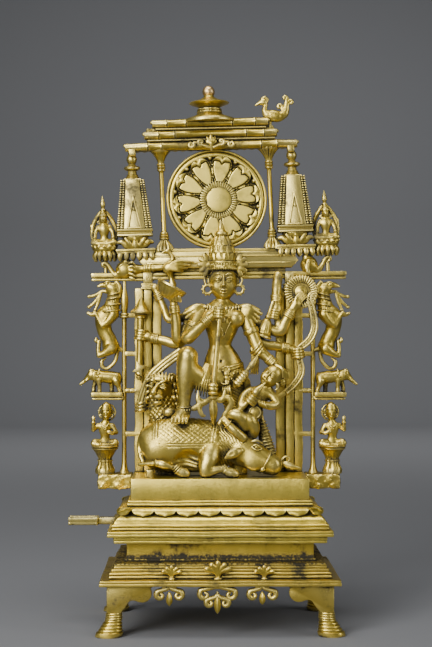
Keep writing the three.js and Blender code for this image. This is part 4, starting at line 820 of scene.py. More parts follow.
# Wings: a slender turned post on each side stands on a rough block, is tied to the pilaster by four
# short links, and carries a grooved shelf for the elephant.
POST_X, LOTUS_X = 96, 115.2
wings = Casting()
lathe(wings, (POST_X, DEEP, TOP), [(5.3, -1), (4.6, 1), (3.3, 4), (2.6, 9), (2.4, 20)]
      + [(2.35 + 0.1 * math.sin(0.4 * h), h) for h in range(24, 156, 6)]
      + [(2.5, 156), (4.6, 156.4), (5.2, 157.4), (4.6, 158.4), (4.0, 158.8),
         (4.6, 159.2), (5.0, 160.2), (4.4, 161.2), (3.0, 161.6), (3.1, 163),
         (3.7, 168), (4.0, 173), (3.7, 178), (2.7, 183), (1.8, 187), (2.0, 199)], 20)
for level, beads in ((36, 0), (80, 1), (117.4, 0), (156.4, 0)):
    if beads:
        for n in range(4):
            rod(wings, [(77.4 + 4.6 * n, DEEP, TOP + level + 2.5), (80 + 4.6 * n, DEEP, TOP + level + 2.5)],
                [2.5, 2.5], 10, 0.9)
    bar(wings, (75, DEEP - 2, TOP + level + 0.3 + 0.6 * beads), (POST_X, DEEP + 2, TOP + level + 4.8 - 0.8 * beads),
        0.6, 0, 0.12, 3)
bar(wings, (POST_X + 1, DEEP - 6.5, TOP + 76.2), (POST_X + 33.6, DEEP + 6.5, TOP + 81), 0.8, 0, 0.15, 3)
bar(wings, (POST_X + 1, DEEP - 5.5, TOP + 73.4), (POST_X + 32.4, DEEP + 5.5, TOP + 75.4), 0.6, 0, 0.15, 3)
bar(wings, (POST_X, DEEP - 4.5, TOP + 74), (POST_X + 30, DEEP + 4.5, TOP + 77), 0.5, 0, 0.1, 3)
lathe(wings, (LOTUS_X, FACE, TOP), [(9.6, -1), (9.8, 2), (8.8, 5), (7.0, 8.5), (6.6, 10.8), (7.4, 11.4), (7.4, 12.8),
                                    (6.5, 13.4), (6.5, 14.2), (7.3, 16), (9.4, 20), (12.0, 23.2), (13.2, 23.8),
                                    (13.3, 24.8), (12.4, 25.2), (13.7, 25.8), (14.1, 26.8), (13.3, 27.6), (3, 27.6)],
      48, 16, 0.14, (0, 23))
pour_frame(both_sides(wings), "frame_wings")

rough_block = Wax((84, 1, TOP - 18), (124, 35, TOP + 3), 0.9)
rough_block.press(brick((104.3, 18, TOP - 7.9), (17.3, 14.6, 7.2), 1.5), 0.5)
rough_block.score((84, 1, TOP - 18), (124, 35, TOP + 3),
                  lambda x, y, z: 0.5 * np.sin(0.5 * x + np.sin(0.7 * z)) * np.sin(0.6 * z + 0.4 * y)
                  + 0.3 * np.sin(1.3 * x + 0.9 * y) * np.sin(1.1 * z) + 0.5 * np.sin(0.33 * x) * (z < TOP - 9))
pour_frame(both_sides(rough_block.cast()), "frame_wing_blocks")

# Elephants, rearing lions and seated attendants on the wings: each modelled once in wax and cast for
# both sides, facing outwards. The lions stand on their curled tails, streamers falling from the mouth.


def elephant():
    wax = Wax((-2, -9, -2), (48, 9, 27), 0.5)
    wax.press(egg((16.5, 0, 15.8), (12.2, 6.4, 6.4)))
    wax.press(egg((7.5, 0, 15), (5, 5.6, 5.6)), 2)
    wax.press(limb([(24, 0, 17), (29, 0, 18)], [6, 5.2]), 2)
    wax.press(egg((32.6, 0, 17.8), (5.4, 5, 5.6)), 1.5)
    for s in (-1, 1):
        wax.press(egg((33.2, 2 * s, 22.2), (3.2, 2.4, 2.2)), 1)
        wax.press(egg((28.8, 5.2 * s, 17.0), (3.6, 1.1, 5.2), (0, 12, 10 * s)), 0.5)
        wax.press(limb([(35.5, 2.4 * s, 15), (39, 2.8 * s, 12.4)], [1.0, 0.5]), 0.4)
        wax.press(egg((35.2, 4.0 * s, 18.6), (1.0, 0.7, 0.8)), 0.2)
        near = s < 0
        front = [(25.5, 3.2 * s, 13), (25, 3.2 * s, 6), (25, 3.2 * s, 1.4)] if near else \
                [(28.6, 3.2 * s, 13), (31, 3.2 * s, 6), (31.4, 3.2 * s, 1.4)]
        hind = [(8, 3.2 * s, 12), (5.6, 3.2 * s, 6), (4.2, 3.2 * s, 1.4)] if near else \
               [(12.5, 3.2 * s, 12), (13, 3.2 * s, 6), (13, 3.2 * s, 1.4)]
        wax.press(limb(front, [3.2, 2.1, 2.3]), 0.8)
        wax.press(limb(hind, [4.2, 2.4, 2.4]), 0.8)
    wax.press(limb([(36, 0, 16.5), (39.6, 0, 12.6), (42.6, 0, 10), (44.6, 0, 8.4)], [3.2, 2.2, 1.7, 1.3]), 1)
    wax.press(limb([(5, 0, 20), (3.4, 0, 15), (3.7, 0, 10.4)], [1.0, 0.9, 1.1]), 0.4)
    for a in range(-70, 250, 32):
        t = math.radians(a)
        wax.press(egg((26.6 - 1.6 * math.sin(t), 6.2 * math.cos(t), 17 + 6.6 * math.sin(t)), (1, 1, 1)), 0.3)
    wax.score((6, -9, 9), (24, 9, 26),
              lambda x, y, z: -0.25 * np.exp(-((x - 23) / 0.5)**2) - 0.2 * np.exp(-((x - 21.4) / 0.4)**2))
    return wax.cast()


def rearing_lion():
    wax = Wax((-2, -10, -2), (41, 10, 94), 0.55)
    wax.press(limb([(15.3, 0, 31), (20.3, 0, 41.1), (20.9, 0, 53.9), (15, 0, 60)], [7.6, 7.6, 9.0, 9.0], 0.8), 1)
    wax.press(limb([(14, 0, 60), (12, 0, 68), (10.6, 0, 76), (11, 0, 82)], [8.6, 7.6, 6.2, 6.0], 0.8), 1)
    wax.press(egg((13.8, 0, 25), (8.8, 6.8, 7.9)), 1.2)
    wax.press(egg((13, 0, 84.5), (7.0, 5.2, 5.6)), 1.5)
    wax.press(limb([(16, 0, 86), (21, 0, 87), (26.4, 0, 85.4)], [4.2, 3.2, 1.6], 0.8), 1)
    wax.press(limb([(14, 0, 80), (19, 0, 80.4), (24, 0, 80.8)], [3.2, 2.2, 1.0], 0.8), 0.6)
    wax.carve(limb([(19, 0, 83.4), (27, 0, 83.2)], [0.7, 1.3], 3.5), 0.3)
    for s in (-1, 1):
        wax.press(hoop((7.6, 2.6 * s, 88), 2.1, 0.9, (90, 0, 0)), 0.3)
        wax.press(egg((17.6, 3.8 * s, 87.8), (1.7, 0.9, 1.3)), 0.3)
        wax.press(limb([(14.5, 3.4 * s, 89.4), (17.5, 3.8 * s, 90), (20.4, 2.8 * s, 88.8)], 0.8), 0.3)
        wax.press(limb([(8, 2.5 * s, 90), (5, 2.5 * s, 86), (4.4, 2.5 * s, 80), (4.6, 2.0 * s, 74)],
                       [1.6, 2.2, 2.0, 1.2]), 0.6)
        y = 4.6 * s
        wax.press(limb([(10.8, y, 57), (16, 1.1 * y, 50), (21.9, 1.1 * y, 45.4)], [5.6, 4.2, 3.0]), 1)
        wax.press(limb([(21.9, 1.1 * y, 45.4), (25.6, y, 52), (28.6, y, 57.4)], [3.0, 2.6, 2.2]), 0.7)
        wax.press(limb([(28.6, y, 57.4), (33, y, 56.6), (36.6, y, 58.2)], [2.2, 2.1, 1.5]), 0.5)
        wax.press(egg((30.2, y, 58.4), (2.2, 2.0, 2.4)), 0.4)
        wax.press(limb([(13, y, 22), (20, y, 17.4), (25.8, y, 15.2)], [6, 3.8, 2.4]), 1)
        wax.press(limb([(25.8, y, 15.2), (26.4, y, 22), (25.6, y, 29.4)], [2.2, 2.0, 1.9]), 0.7)
        wax.press(egg((28.6, y, 30.8), (1.9, 2.0, 2.9)), 0.4)
    for n, (x, z, r) in enumerate(((10.6, 77.6, 6.8), (10.8, 73.4, 7.4), (12.0, 66.8, 8.4), (13.6, 60.4, 9.8))):
        wax.press(hoop((x, 0, z), r - 0.2, 0.9, (0, 14 - 3 * n, 0)), 0.3)
    wax.score((0, -10, 61), (24, 10, 73),
              lambda x, y, z: -0.5 * (np.abs(np.sin(1.15 * x + 1.6 * np.abs(y))) < 0.4)
              * ((np.abs(z - 70.6) < 1.4) | (np.abs(z - 63.8) < 2.0)))
    wax.press(limb([(7.3, 0, 18), (9.6, 0, 9), (16.6, 0, 2.2), (22.0, 0, 3.6), (23.0, 0, 9.2), (19.0, 0, 12.8)],
                   [2.2, 2.0, 2.0, 2.0, 2.0, 1.0], 0.9), 0.6)
    for end, bend in (((36, 75), (30.6, 76)), ((36, 64.4), (30, 69.6)), ((29.6, 61.6), (26.2, 70))):
        wax.press(limb([(22.6, 0, 81), (bend[0], 0, bend[1]), (end[0], 0, end[1])], [1.0, 1.7, 1.5], 0.7), 0.3)
        wax.press(egg((end[0], 0, end[1]), (1.9, 1.4, 1.6)), 0.4)
    wax.press(limb([(0.2, 0, 20), (6, 0, 22)], [1.8, 2.6]), 0.6)
    return wax.cast(0.1)


def attendant():
    wax = Wax((-16, -10, -2), (16, 8, 48), 0.5)
    wax.press(hoop((-1.8, 3.4, 35.2), 8.3, 0.95, (90, 0, 0)), 0.3)
    wax.press(brick((-1.8, 3.8, 35.2), (6.0, 0.5, 6.0), 0.4, (0, 45, 0)), 0.2)
    for s in (-1, 1):
        wax.press(limb([(3.4 * s, 1, 3.6), (9.6 * s, -2, 5.6), (11.6 * s, -3.6, 4.0)], [3.6, 3.2, 2.7]), 0.8)
        wax.press(limb([(11.2 * s, -3.6, 3.6), (6 * s, -6, 2.6), (0.6 * s, -6.4, 2.4)], [2.6, 2.3, 1.9]), 0.6)
        wax.press(hoop((4.4 * s, -6.2, 2.6), 2.3, 0.6, (0, 90, 0)), 0.2)
    wax.press(limb([(0, 1, 2), (0, 0.6, 11), (0.2, 0.4, 18), (0, 0.6, 23)], [6.6, 4.5, 6.4, 5.0], 0.72), 1)
    wax.press(limb([(-7.4, 0.4, 21.4), (7.4, 0.4, 21.8)], [2.8, 2.8]), 1.2)
    wax.press(limb([(-0.6, 0.4, 24), (-1.0, 0, 29)], [2.8, 2.8]), 0.8)
    wax.press(limb([(7.4, 0, 21.6), (11.9, -1, 17.6)], [2.5, 2.1]), 0.8)
    wax.press(limb([(11.9, -1, 17.6), (11.8, -2.6, 22), (11.6, -3, 26.4)], [2.1, 1.9, 1.6]), 0.5)
    wax.press(egg((11.6, -3.4, 29), (2.0, 1.4, 2.9)), 0.5)
    wax.press(hoop((11.7, -2.8, 25), 1.9, 0.6), 0.2)
    wax.press(limb([(-7.4, 0, 21.2), (-11.4, -1, 15)], [2.5, 2.1]), 0.8)
    wax.press(limb([(-11.4, -1, 15), (-7.6, -4, 14.4), (-4.2, -4.8, 15.6)], [2.1, 2.0, 1.8]), 0.5)
    wax.press(egg((-4.0, -5.0, 15.8), (2.6, 1.5, 2.0)), 0.5)
    wax.press(egg((-1.2, 0, 34.6), (5.3, 5.2, 6.6)), 0.8)
    wax.press(turned((-1.2, 0, 0), [(5.6, 38), (5.7, 40), (4.8, 41.4), (4.4, 43.4), (2.2, 45), (0.8, 46)]), 0.5)
    wax.press(hoop((-1.2, 0, 38.4), 5.5, 0.7), 0.2)
    for s in (-1, 1):
        wax.press(egg((-1.2 + 2.1 * s, -4.7, 35.6), (1.1, 0.6, 0.6)), 0.15)
        wax.press(hoop((-1.2 + 5.3 * s, -0.4, 31.6), 1.3, 0.55, (90, 0, 0)), 0.2)
    wax.press(limb([(-1.2, -5.0, 36), (-1.2, -5.9, 33.4)], [0.5, 0.9]), 0.4)
    wax.press(egg((-1.2, -4.7, 31.0), (1.4, 0.6, 0.5)), 0.2)
    for n, drop_by in enumerate((0, 2.0)):
        wax.press(limb([(-4.4, -3.4, 24.4), (0, -4.6, 20.2 - drop_by), (4.4, -3.4, 24.4)], [0.5, 0.6, 0.5]), 0.2)
    return wax.cast()


small_figures = Casting()
small_figures.add(elephant().placed(POST_X, DEEP, TOP + 80.5))
small_figures.add(rearing_lion().placed(POST_X, DEEP, TOP + 103))
small_figures.add(attendant().placed(LOTUS_X, FACE, TOP + 25.5))
pour_frame(small_figures, "frame_figures_right")
pour_frame(small_figures.placed(0, 0, 0, 1, True), "frame_figures_left")

# Towers over the ends of the lintel: a petalled bowl on a slab carries a stepped pyramid with toothed
# ladders up its faces, crowned by rings, a disc and a bulb. All above the lintel has sunk leftwards.
TOWER_X = 81.5
TOWER_LOW, TOWER_RISE = TOP + 248.7, 51
towers = Casting()


def square_rings(casting, low, levels):
    """A square stack with rounded corners, from half widths, half depths and heights over its foot."""
    rings = []
    for half_x, half_y, z in levels:
        flat = rounded_rectangle(half_x, half_y, 0.8, (2, 2))
        rings.append(np.column_stack([flat[:, 0], flat[:, 1] + DEEP, np.full(len(flat), low + z)]))
    casting.skin(rings)


def tower_half(z):
    """Half the width of the pyramid's ladders at a height."""
    return 17.6 - 6.0 * (z - TOWER_LOW) / TOWER_RISE


square_rings(towers, TOWER_LOW - 7.2, [(16.6, 9.6, 0), (17.8, 10.6, 0.5), (17.8, 10.6, 2.1), (17.0, 10.0, 2.4),
                                       (17.5, 10.4, 2.8), (17.5, 10.4, 3.8), (16.9, 9.9, 4.1), (17.6, 10.5, 4.6),
                                       (18.1, 11.0, 5.2), (18.1, 11.0, 6.8), (17.4, 10.4, 7.2), (15, 9, 7.4)])
square_rings(towers, TOWER_LOW, [(15.0, 8.6, -0.2), (9.4, 7.4, 50.4), (9.0, 7.0, TOWER_RISE)])
for n in range(21):
    z = TOWER_LOW + 1.0 + 2.38 * n
    half = tower_half(z)
    for s in (-1, 1):
        for near, far in ((0.65, 0.79), (0.86, 1.0)):
            inner, outer = sorted((s * half * near, s * half * far))
            bar(towers, (inner, DEEP - 10.5 + 0.028 * (z - TOWER_LOW), z), (outer, DEEP + 8.8 - 0.02 * n, z + 1.3),
                0.3, 0, 0.04, 24)
inner = [(-10.56, TOWER_LOW + 0.4), (10.56, TOWER_LOW + 0.4), (6.6, TOWER_LOW + 50), (-6.6, TOWER_LOW + 50)]
plate(towers, inner, DEEP - 10.6, DEEP + 8, 0.5)
triangle = [(-6.4, TOWER_LOW + 0.8), (6.4, TOWER_LOW + 0.8), (0, TOWER_LOW + 33)]
for a, b in zip(triangle, triangle[1:] + triangle[:1]):
    rod(towers, [(a[0], DEEP - 11.4, a[1]), (b[0], DEEP - 11.4, b[1])], [0.9, 0.9], 8)
lathe(towers, (0, DEEP - 11.6, TOWER_LOW), [(0.9, 18.6), (1.3, 19.8), (0.9, 21)], 10)
lathe(towers, (0, DEEP, TOWER_LOW + TOWER_RISE), [(7.6, -1), (7.8, 0.6), (6.4, 1.0), (6.8, 2.4), (5.6, 2.9),
        (5.9, 4.4), (4.6, 5.0), (4.4, 8.6), (6.6, 9.4), (8.2, 10.4), (8.4, 11.8), (7.2, 13.0), (4.4, 13.6),
        (3.4, 15.6), (4.6, 17.4), (5.4, 20.2), (5.0, 22.6), (3.6, 24.6), (3.0, 30)], 28)
slab_low = TOWER_LOW - 24.7
bar(towers, (-20.2, DEEP - 9, slab_low + 1.9), (20.2, DEEP + 9, slab_low + 4.7), 0.7, 0, 0.12, 4)
bar(towers, (-19.4, DEEP - 8.3, slab_low), (19.4, DEEP + 8.3, slab_low + 2.1), 0.6, 0, 0.12, 4)


def tower_bowl():
    wax = Wax((-20, -13, -11), (20, 13, 20), 0.6)
    wax.press(turned((0, 0, 0), [(6, 3.6), (5.6, 5.4), (8, 9), (12.6, 14), (14, 17.4)], flat=0.72), 0.6)
    for s in (-1, 1):
        for y in (-6, 6):
            wax.press(limb([(4 * s, y * 0.8, 5.4), (9 * s, y, 8), (13.4 * s, y * 1.1, 12), (17.4 * s, y, 11.4)],
                           [2.6, 3.2, 2.6, 1.4], 0.7), 0.6)
            wax.press(limb([(3.4 * s, y * 1.1, 6), (6.6 * s, y * 1.35, 11), (9.4 * s, y * 1.4, 15)],
                           [2.0, 2.4, 1.8], 0.7), 0.4)
    for y in (-7.4, 7.4):
        wax.press(egg((0, y, 9.6), (3.2, 2.4, 6.0)), 0.5)
        wax.press(egg((0, y * 1.2, 14.4), (1.5, 1.4, 1.4)), 0.3)
        for x in (-15.4, -9.2, -3.1, 3.1, 9.2, 15.4):
            wax.press(limb([(x, y * 0.9, 1.2), (x * 1.05, y * 1.05, -3), (x * 1.08, y, -6.6)],
                           [2.5, 2.7, 0.9], 0.6), 0.3)
            wax.carve(limb([(x, y * 1.28, 0), (x * 1.06, y * 1.3, -5)], [0.5, 0.4]), 0.3)
    return wax.cast()


towers.add(tower_bowl().placed(0, DEEP, slab_low))
bar(towers, (12.7, DEEP - 2, TOP + 200), (16.3, DEEP + 2, slab_low + 2), 0.6, 2, 0.1)
both_towers = Casting()
both_towers.add(towers.placed(TOWER_X, 0, 0))
both_towers.add(towers.placed(-TOWER_X, 0, 0, 1, True))
pour_frame(both_towers.settled(), "frame_towers")

# Colonettes: two slender turned shafts beside the wheel, with leaf bases and trumpet capitals.
colonettes = Casting()
low = TOP + 226
for x, flutes in ((-52, 0), (58, 14)):
    lathe(colonettes, (x, DEEP, low), [(8.6, -0.5), (9.0, 1.6), (7.6, 5), (4.6, 9.6), (3.6, 11.6)], 48,
          12, 0.3, (0, 10))
    lathe(colonettes, (x, DEEP, low), [(3.4, 11), (5.0, 11.8), (5.2, 13), (4.2, 13.8), (4.9, 14.6), (5.0, 15.8),
                                       (3.9, 16.6), (4.4, 17.4), (4.3, 18.6), (2.8, 19.6), (2.4, 22), (2.3, 50),
                                       (2.2, 79.5), (2.6, 80.9), (4.0, 81.7), (4.2, 82.9), (3.4, 83.7), (4.2, 84.5),
                                       (4.4, 85.9), (3.5, 86.7), (4.2, 87.5), (4.2, 88.7), (3.0, 89.7)], 24)
    lathe(colonettes, (x, DEEP, low), [(3.0, 89.3), (3.6, 91.5), (5.4, 95.5), (8.2, 99.3), (10.2, 101.3),
                                       (10.4, 103.3)], 48, flutes, 0.22, (90.5, 101.5))
pour_frame(colonettes.settled(), "frame_colonettes")

# Wheel: one cast disc. Ten leaf-shaped petals with raised rims stand in a deep ring between the thin
# outer rim and a domed boss, bud knobs between their tips and fine stamens round the boss.
WHEEL_X, WHEEL_Z, WHEEL_R = 3, TOP + 277.3, 51.3
WHEEL_SIDES, PETALS, PETAL_TURN = 330, 10, math.radians(78.6)
PETAL_FOOT, PETAL_TIP = 17.5, 44.6
BOSS_X, BOSS_Z = 2.3, -0.8
WHEEL_BRASS = brass("wheel_brass", (0.82, 0.64, 0.12), (0.028, 0.024, 0.013), (0.99, 0.82, 0.28), 4.5, 0.33, 0.36)


def wheel_relief(r, turn):
    """Height of the wheel's front above its sunk floor."""
    def hump(distance, half):
        return np.sqrt(np.clip(1 - (distance / half)**2, 0, 1))
    height = 4.3 * hump(r - 49.9, 1.6)**0.6 + 0 * turn
    height = np.maximum(height, 4.0 * hump(r - 45.6, 2.5)**0.35)
    height = np.where((r > 43) & (r < 51), np.maximum(height, 2.4), height)
    height = np.where(r > WHEEL_R - 0.15, 1.0, height)
    spacing = 2 * math.pi / PETALS
    off = (turn - PETAL_TURN + spacing / 2) % spacing - spacing / 2
    across = r * np.sin(off)
    along = r * np.cos(off)
    t = np.clip((along - PETAL_FOOT) / (PETAL_TIP - PETAL_FOOT), 0, 1)
    half = np.where(t < 0.66, 4.9 + 5.5 * np.sin(math.pi / 2 * np.minimum(t / 0.66, 1)),
                    10.4 * np.sqrt(np.clip(1 - ((t - 0.66) / 0.345)**2, 0, 1)))
    inside = np.where((along > PETAL_FOOT) & (along < PETAL_TIP + 0.2), half - np.abs(across), -1)
    rim = 5.6 * np.clip(1 - (np.clip(0.8 - inside, -0.8, 0.8) / 0.8)**2 * 0.4, 0, 1)
    panel_gap = np.minimum(inside - 1.9, 38.6 - along - 3.0 * np.exp(-(across / 1.7)**2))
    panel = np.where(panel_gap > 0, 4.6 + 0.7 * np.clip(panel_gap / 0.9, 0, 1)**0.5, 2.6)
    notched = along + 3.0 * np.exp(-(across / 1.7)**2)
    petal = np.where(inside < 1.2, rim, panel)
    petal = np.where(notched > 39.3, 4.4 + 1.6 * hump(notched - 42.4, 3.2), petal)
    height = np.where(inside > 0, np.maximum(petal, height), height)
    half_off = (turn - PETAL_TURN) % spacing - spacing / 2
    bud = np.hypot(r * np.sin(half_off), r * np.cos(half_off) - 42.6)
    height = np.maximum(height, 5.0 * hump(bud, 2.5))
    offset = np.hypot(r * np.cos(turn) - BOSS_X, r * np.sin(turn) - BOSS_Z)
    height = np.where(offset < 19.0, 2.0, height)
    return np.where(offset < 12.8, 6.0 + 0.9 * np.sqrt(np.clip(1 - (offset / 12.8)**2, 0, 1)), height)


turn = np.linspace(0, 2 * math.pi, WHEEL_SIDES, endpoint=False)
reaches = np.concatenate([np.linspace(0.4, 12, 12), np.linspace(12.4, 43, 66), np.linspace(43.3, 51.1, 26)])
fronts = [np.column_stack([r * np.cos(turn), 2 - wheel_relief(r, turn), r * np.sin(turn)]) for r in reaches]
edges = [np.column_stack([r * np.cos(turn), np.full(WHEEL_SIDES, y), r * np.sin(turn)])
         for r, y in ((WHEEL_R, 1.2), (WHEEL_R, 4.8), (WHEEL_R - 0.6, 5.5), (30, 5.5), (4, 5.5))]
wheel = Casting().skin(fronts + edges)
for a in np.linspace(0, 2 * math.pi, 44, endpoint=False):
    stamen = [(BOSS_X + r * math.cos(a), y, BOSS_Z + r * math.sin(a))
              for r, y in ((12.4, -2.4), (15.6, -3.4), (19.2, -2.8))]
    rod(wheel, stamen, [0.4, 0.46, 0.56], 6, 1, 1)
pour_frame(wheel.placed(WHEEL_X, DEEP, WHEEL_Z).settled(), "frame_wheel", WHEEL_BRASS)

# Roof: three rows of cast bamboo with raised joints, laid before a rough core, a scroll ornament in
# the middle, and above it a dome with a beaded neck, a saucer and a copper-coloured ball.
ROOF, BAMBOO_SIDES = TOP + 331.5, 18
roof = Casting()


def bamboo(casting, left, right, z, radius, joints):
    """One cane from left to right, swollen and notched at each joint."""
    swelling = ((-2.2, 1.0), (-1.2, 1.07), (-0.5, 1.10), (0, 0.84), (0.5, 1.10), (1.2, 1.07), (2.2, 1.0))
    turn = np.linspace(0, 2 * math.pi, BAMBOO_SIDES, endpoint=False)
    rings = []
    for x, wide in [(left, 0.9)] + [(x + off, wide) for x in joints for off, wide in swelling] + [(right, 0.9)]:
        drift = 0.2 * math.sin(0.19 * x + z)
        rings.append(np.column_stack([np.full(BAMBOO_SIDES, x), DEEP - 7 + radius * wide * np.cos(turn) * 1.2,
                                      z + drift + radius * wide * np.sin(turn)]))
    casting.skin(rings)


for row, (left, right, joints) in enumerate((
        (-87, 87, (-64.24, -49.97, 50.94, 67.25)),
        (-67, 67, (-52.63, -36.32, 36.05, 54.40)),
        (-58.6, 58.6, (-43.88, -24.51, 22.38, 45.82)))):
    z = ROOF + 11.5 * row
    bamboo(roof, left, right, z, 4.1, joints)
    if row:
        bamboo(roof, left + 3, right - 2, z - 5.4, 1.5, [])
    for s in (-1, 1):
        end = left if s < 0 else right
        rod(roof, [(end - s * 1.5, DEEP - 7, z + 1.6), (end + s * 0.4, DEEP - 7, z + 1.4)], [2.4, 1.9], 10)
        rod(roof, [(end - s * 3, DEEP - 6, z - 2.6), (end - s * 0.8, DEEP - 6, z - 2.8)], [1.7, 1.4], 10)
for s in (-1, 1):
    bar(roof, (min(s * 77, s * 84), DEEP - 10.5, ROOF - 9), (max(s * 77, s * 84), DEEP + 3, ROOF + 1), 1.2, 2, 0.2, 3)
core = Wax((-86, -10, -6), (86, 11, 30), 1.0)
core.press(brick((0, 2, -0.2), (84, 7.5, 3.0), 1.0), 0.5)
core.press(brick((0, 2, 10), (65, 7.0, 9), 1.0), 0.5)
core.press(brick((0, 2, 20), (57, 6.5, 6.0), 1.0), 0.5)
core.score((-86, -10, -6), (86, 11, 30),
           lambda x, y, z: 0.6 * np.sin(0.8 * x + 1.3 * np.sin(0.9 * z)) * np.sin(1.1 * z + 0.6 * y))
roof.add(core.cast(0.1).moved(lambda p: p + [0, DEEP, ROOF]))
for s in (-1, 1):
    scroll = [(s * x, y, z) for x, y, z in spiral((20.4, ROOF + 0.4), 3.3, 150, 420, DEEP - 12.6, 0.25)]
    rod(roof, [(s * 10, DEEP - 12.6, ROOF + 2.4)] + scroll, [1.4, 1.9, 1.8, 1.6, 1.3, 1.0], 10, 1.0, 4)
    scroll = [(s * x, y, z) for x, y, z in spiral((10.4, ROOF + 2.6), 3.3, 240, 400, DEEP - 12.8, 0.25)]
    rod(roof, [(s * 2.4, DEEP - 12.8, ROOF - 2.6)] + scroll, [1.6, 1.9, 1.8, 1.6, 1.2, 1.0], 10, 1.0, 4)
scroll_leaf = Wax((-12, -6, -11), (12, 6, 15), 0.5)
for degrees, reach in ((-58, 8), (-30, 10.5), (30, 10.5), (58, 8), (0, 12.5)):
    a = math.radians(degrees)
    scroll_leaf.press(egg((reach * 0.5 * math.sin(a), 0, reach * 0.5 * math.cos(a)), (2.5, 2.0, reach * 0.56),
                          (0, degrees, 0)), 0.5)
    scroll_leaf.carve(limb([(0, -2.0, 0), (reach * 0.9 * math.sin(a), -1.9, reach * 0.9 * math.cos(a))],
                           [0.4, 0.4]), 0.3)
scroll_leaf.press(limb([(0, 0, 1), (0, 0, -8)], [3.4, 1.2], 0.7), 0.6)
roof.add(scroll_leaf.cast().moved(lambda p: p * [0.8, 1, 0.8] + [0, DEEP - 12.6, ROOF + 0.6]))
FINIAL = ROOF + 26
lathe(roof, (0, DEEP, FINIAL), [(26.6, -2), (26.8, 0), (25.6, 1.4), (21, 3.0), (15.4, 5.0), (12.6, 7.0),
                                (12.2, 7.6)], 48)
lathe(roof, (0, DEEP, FINIAL), [(12.0, 7.2), (12.8, 8.0), (12.8, 9.2), (11.8, 9.8), (12.4, 10.6), (12.4, 11.6),
                                (11.6, 12.2)], 60, 26, 0.06, (7, 13))
lathe(roof, (0, DEEP, FINIAL), [(9.8, 12), (10.6, 13.4), (14.4, 15.4), (19.6, 17.2), (20.5, 18.0), (19.4, 18.8),
                                (14, 20.2), (9.4, 21.8), (6.6, 23.4), (5.2, 24.6), (5.0, 26)], 48)
pour_frame(roof.settled(), "frame_roof")
COPPER = brass("finial_ball_copper", (0.66, 0.44, 0.17), (0.05, 0.034, 0.02), (0.92, 0.68, 0.36), 4, 0.34, 0.25)
ball = Casting()
lathe(ball, (0, DEEP, FINIAL), [(6.3 * math.sin(a), 29.6 - 6.3 * math.cos(a))
                                for a in np.linspace(0.5, 3.12, 16)], 32)
pour_frame(ball.settled(), "frame_finial_ball", COPPER)

# Birds, sea-beasts and small goddesses of the upper works, each modelled in wax: a peacock on the
# roof, geese beside the lintel, elephant-headed makaras at its ends and goddesses under leaf arches.


def peacock():
    wax = Wax((-17, -7, -4), (28, 7, 39), 0.5)
    wax.press(brick((0, 0, -0.4), (4.4, 4.2, 2.6), 0.6), 0.3)
    wax.press(limb([(0, 0, 1), (0, 0, 14)], [2.0, 1.5]), 0.8)
    wax.press(egg((4.6, 0, 15.2), (10.6, 4.8, 6.2), (0, 10, 0)), 1)
    wax.press(limb([(-3, 0, 16.6), (-5, 0, 21.4), (-3.6, 0, 26.6), (-4.6, 0, 30.0)], [4.2, 2.7, 2.2, 2.6]), 1.2)
    wax.press(egg((-6.2, 0, 29.6), (3.9, 2.9, 3.5)), 0.6)
    wax.press(limb([(-8.6, 0, 29.4), (-11.6, 0, 27.8), (-14.2, 0, 26.6)], [2.2, 1.5, 0.7]), 0.4)
    wax.press(limb([(-7.6, 0, 33), (-4.2, 0, 34.4), (-1.6, 0, 32.2), (-2.4, 0, 28.8)], [1.1, 1.5, 1.4, 0.9]), 0.3)
    for s in (-1, 1):
        wax.press(egg((5.0, 3.4 * s, 16.2), (6.6, 1.4, 3.6), (0, 18, 0)), 0.4)
        wax.press(egg((-6.2, 1.9 * s, 30.8), (0.7, 0.5, 0.6)), 0.1)
    wax.score((-1, -7, 10), (13, 7, 22),
              lambda x, y, z: -0.35 * (np.abs(np.sin(1.5 * (z + 0.35 * x))) < 0.35) * (np.abs(y) > 2.4))
    wax.press(limb([(9, 0, 14), (15, 0, 17), (17.6, 0, 24), (17.6, 0, 30)], [4.6, 4.2, 3.0, 1.6], 0.8), 0.6)
    for x, z, r, start, sweep in ((10.4, 24.4, 3.2, -40, 330), (16.4, 33.2, 2.8, -60, 330),
                                  (22.4, 28.6, 3.0, 200, -330)):
        volute = spiral((x, z), r, start, sweep, 0, 0.2)
        wax.press(limb([(14, 0, 18)] + [(u, 0, v) for u, y, v in volute],
                       [2.0] + [1.5] * (len(volute) - 1) + [1.0], 1, 3), 0.2)
    return wax.cast()


def goose():
    wax = Wax((-8, -6, -10), (30, 7, 31), 0.5)
    wax.press(egg((1, 0, 10), (6.2, 4.6, 6.6)), 1)
    wax.press(limb([(2, 0, 14), (5.4, 0, 18.4), (4.6, 0, 23.6), (1.6, 0, 27)], [3.4, 2.0, 1.8, 2.0]), 1.2)
    wax.press(egg((0.4, 0, 27.6), (2.8, 2.2, 2.2)), 0.5)
    wax.press(limb([(-1.4, 0, 27.4), (-5.6, 0, 25.6)], [1.1, 0.5]), 0.4)
    wax.press(limb([(2, 0, 5), (3.4, 0, -1), (4.4, 0, -6.6)], [3.2, 2.4, 4.0], 0.8), 0.8)
    wax.press(turned((4.2, 0, 0), [(2.0, -3.6), (4.0, -7.4), (4.4, -8.4)]), 0.4)
    for n, (reach, z) in enumerate(((25.6, 15.6), (23, 12.4), (19.4, 9.4), (15, 6.8))):
        wax.press(limb([(1, -3.2, 12 - n), (10, -4.2, z + 0.8), (reach, -2.8, z)], [2.2, 1.9, 1.2], 0.7), 0.25)
    return wax.cast()


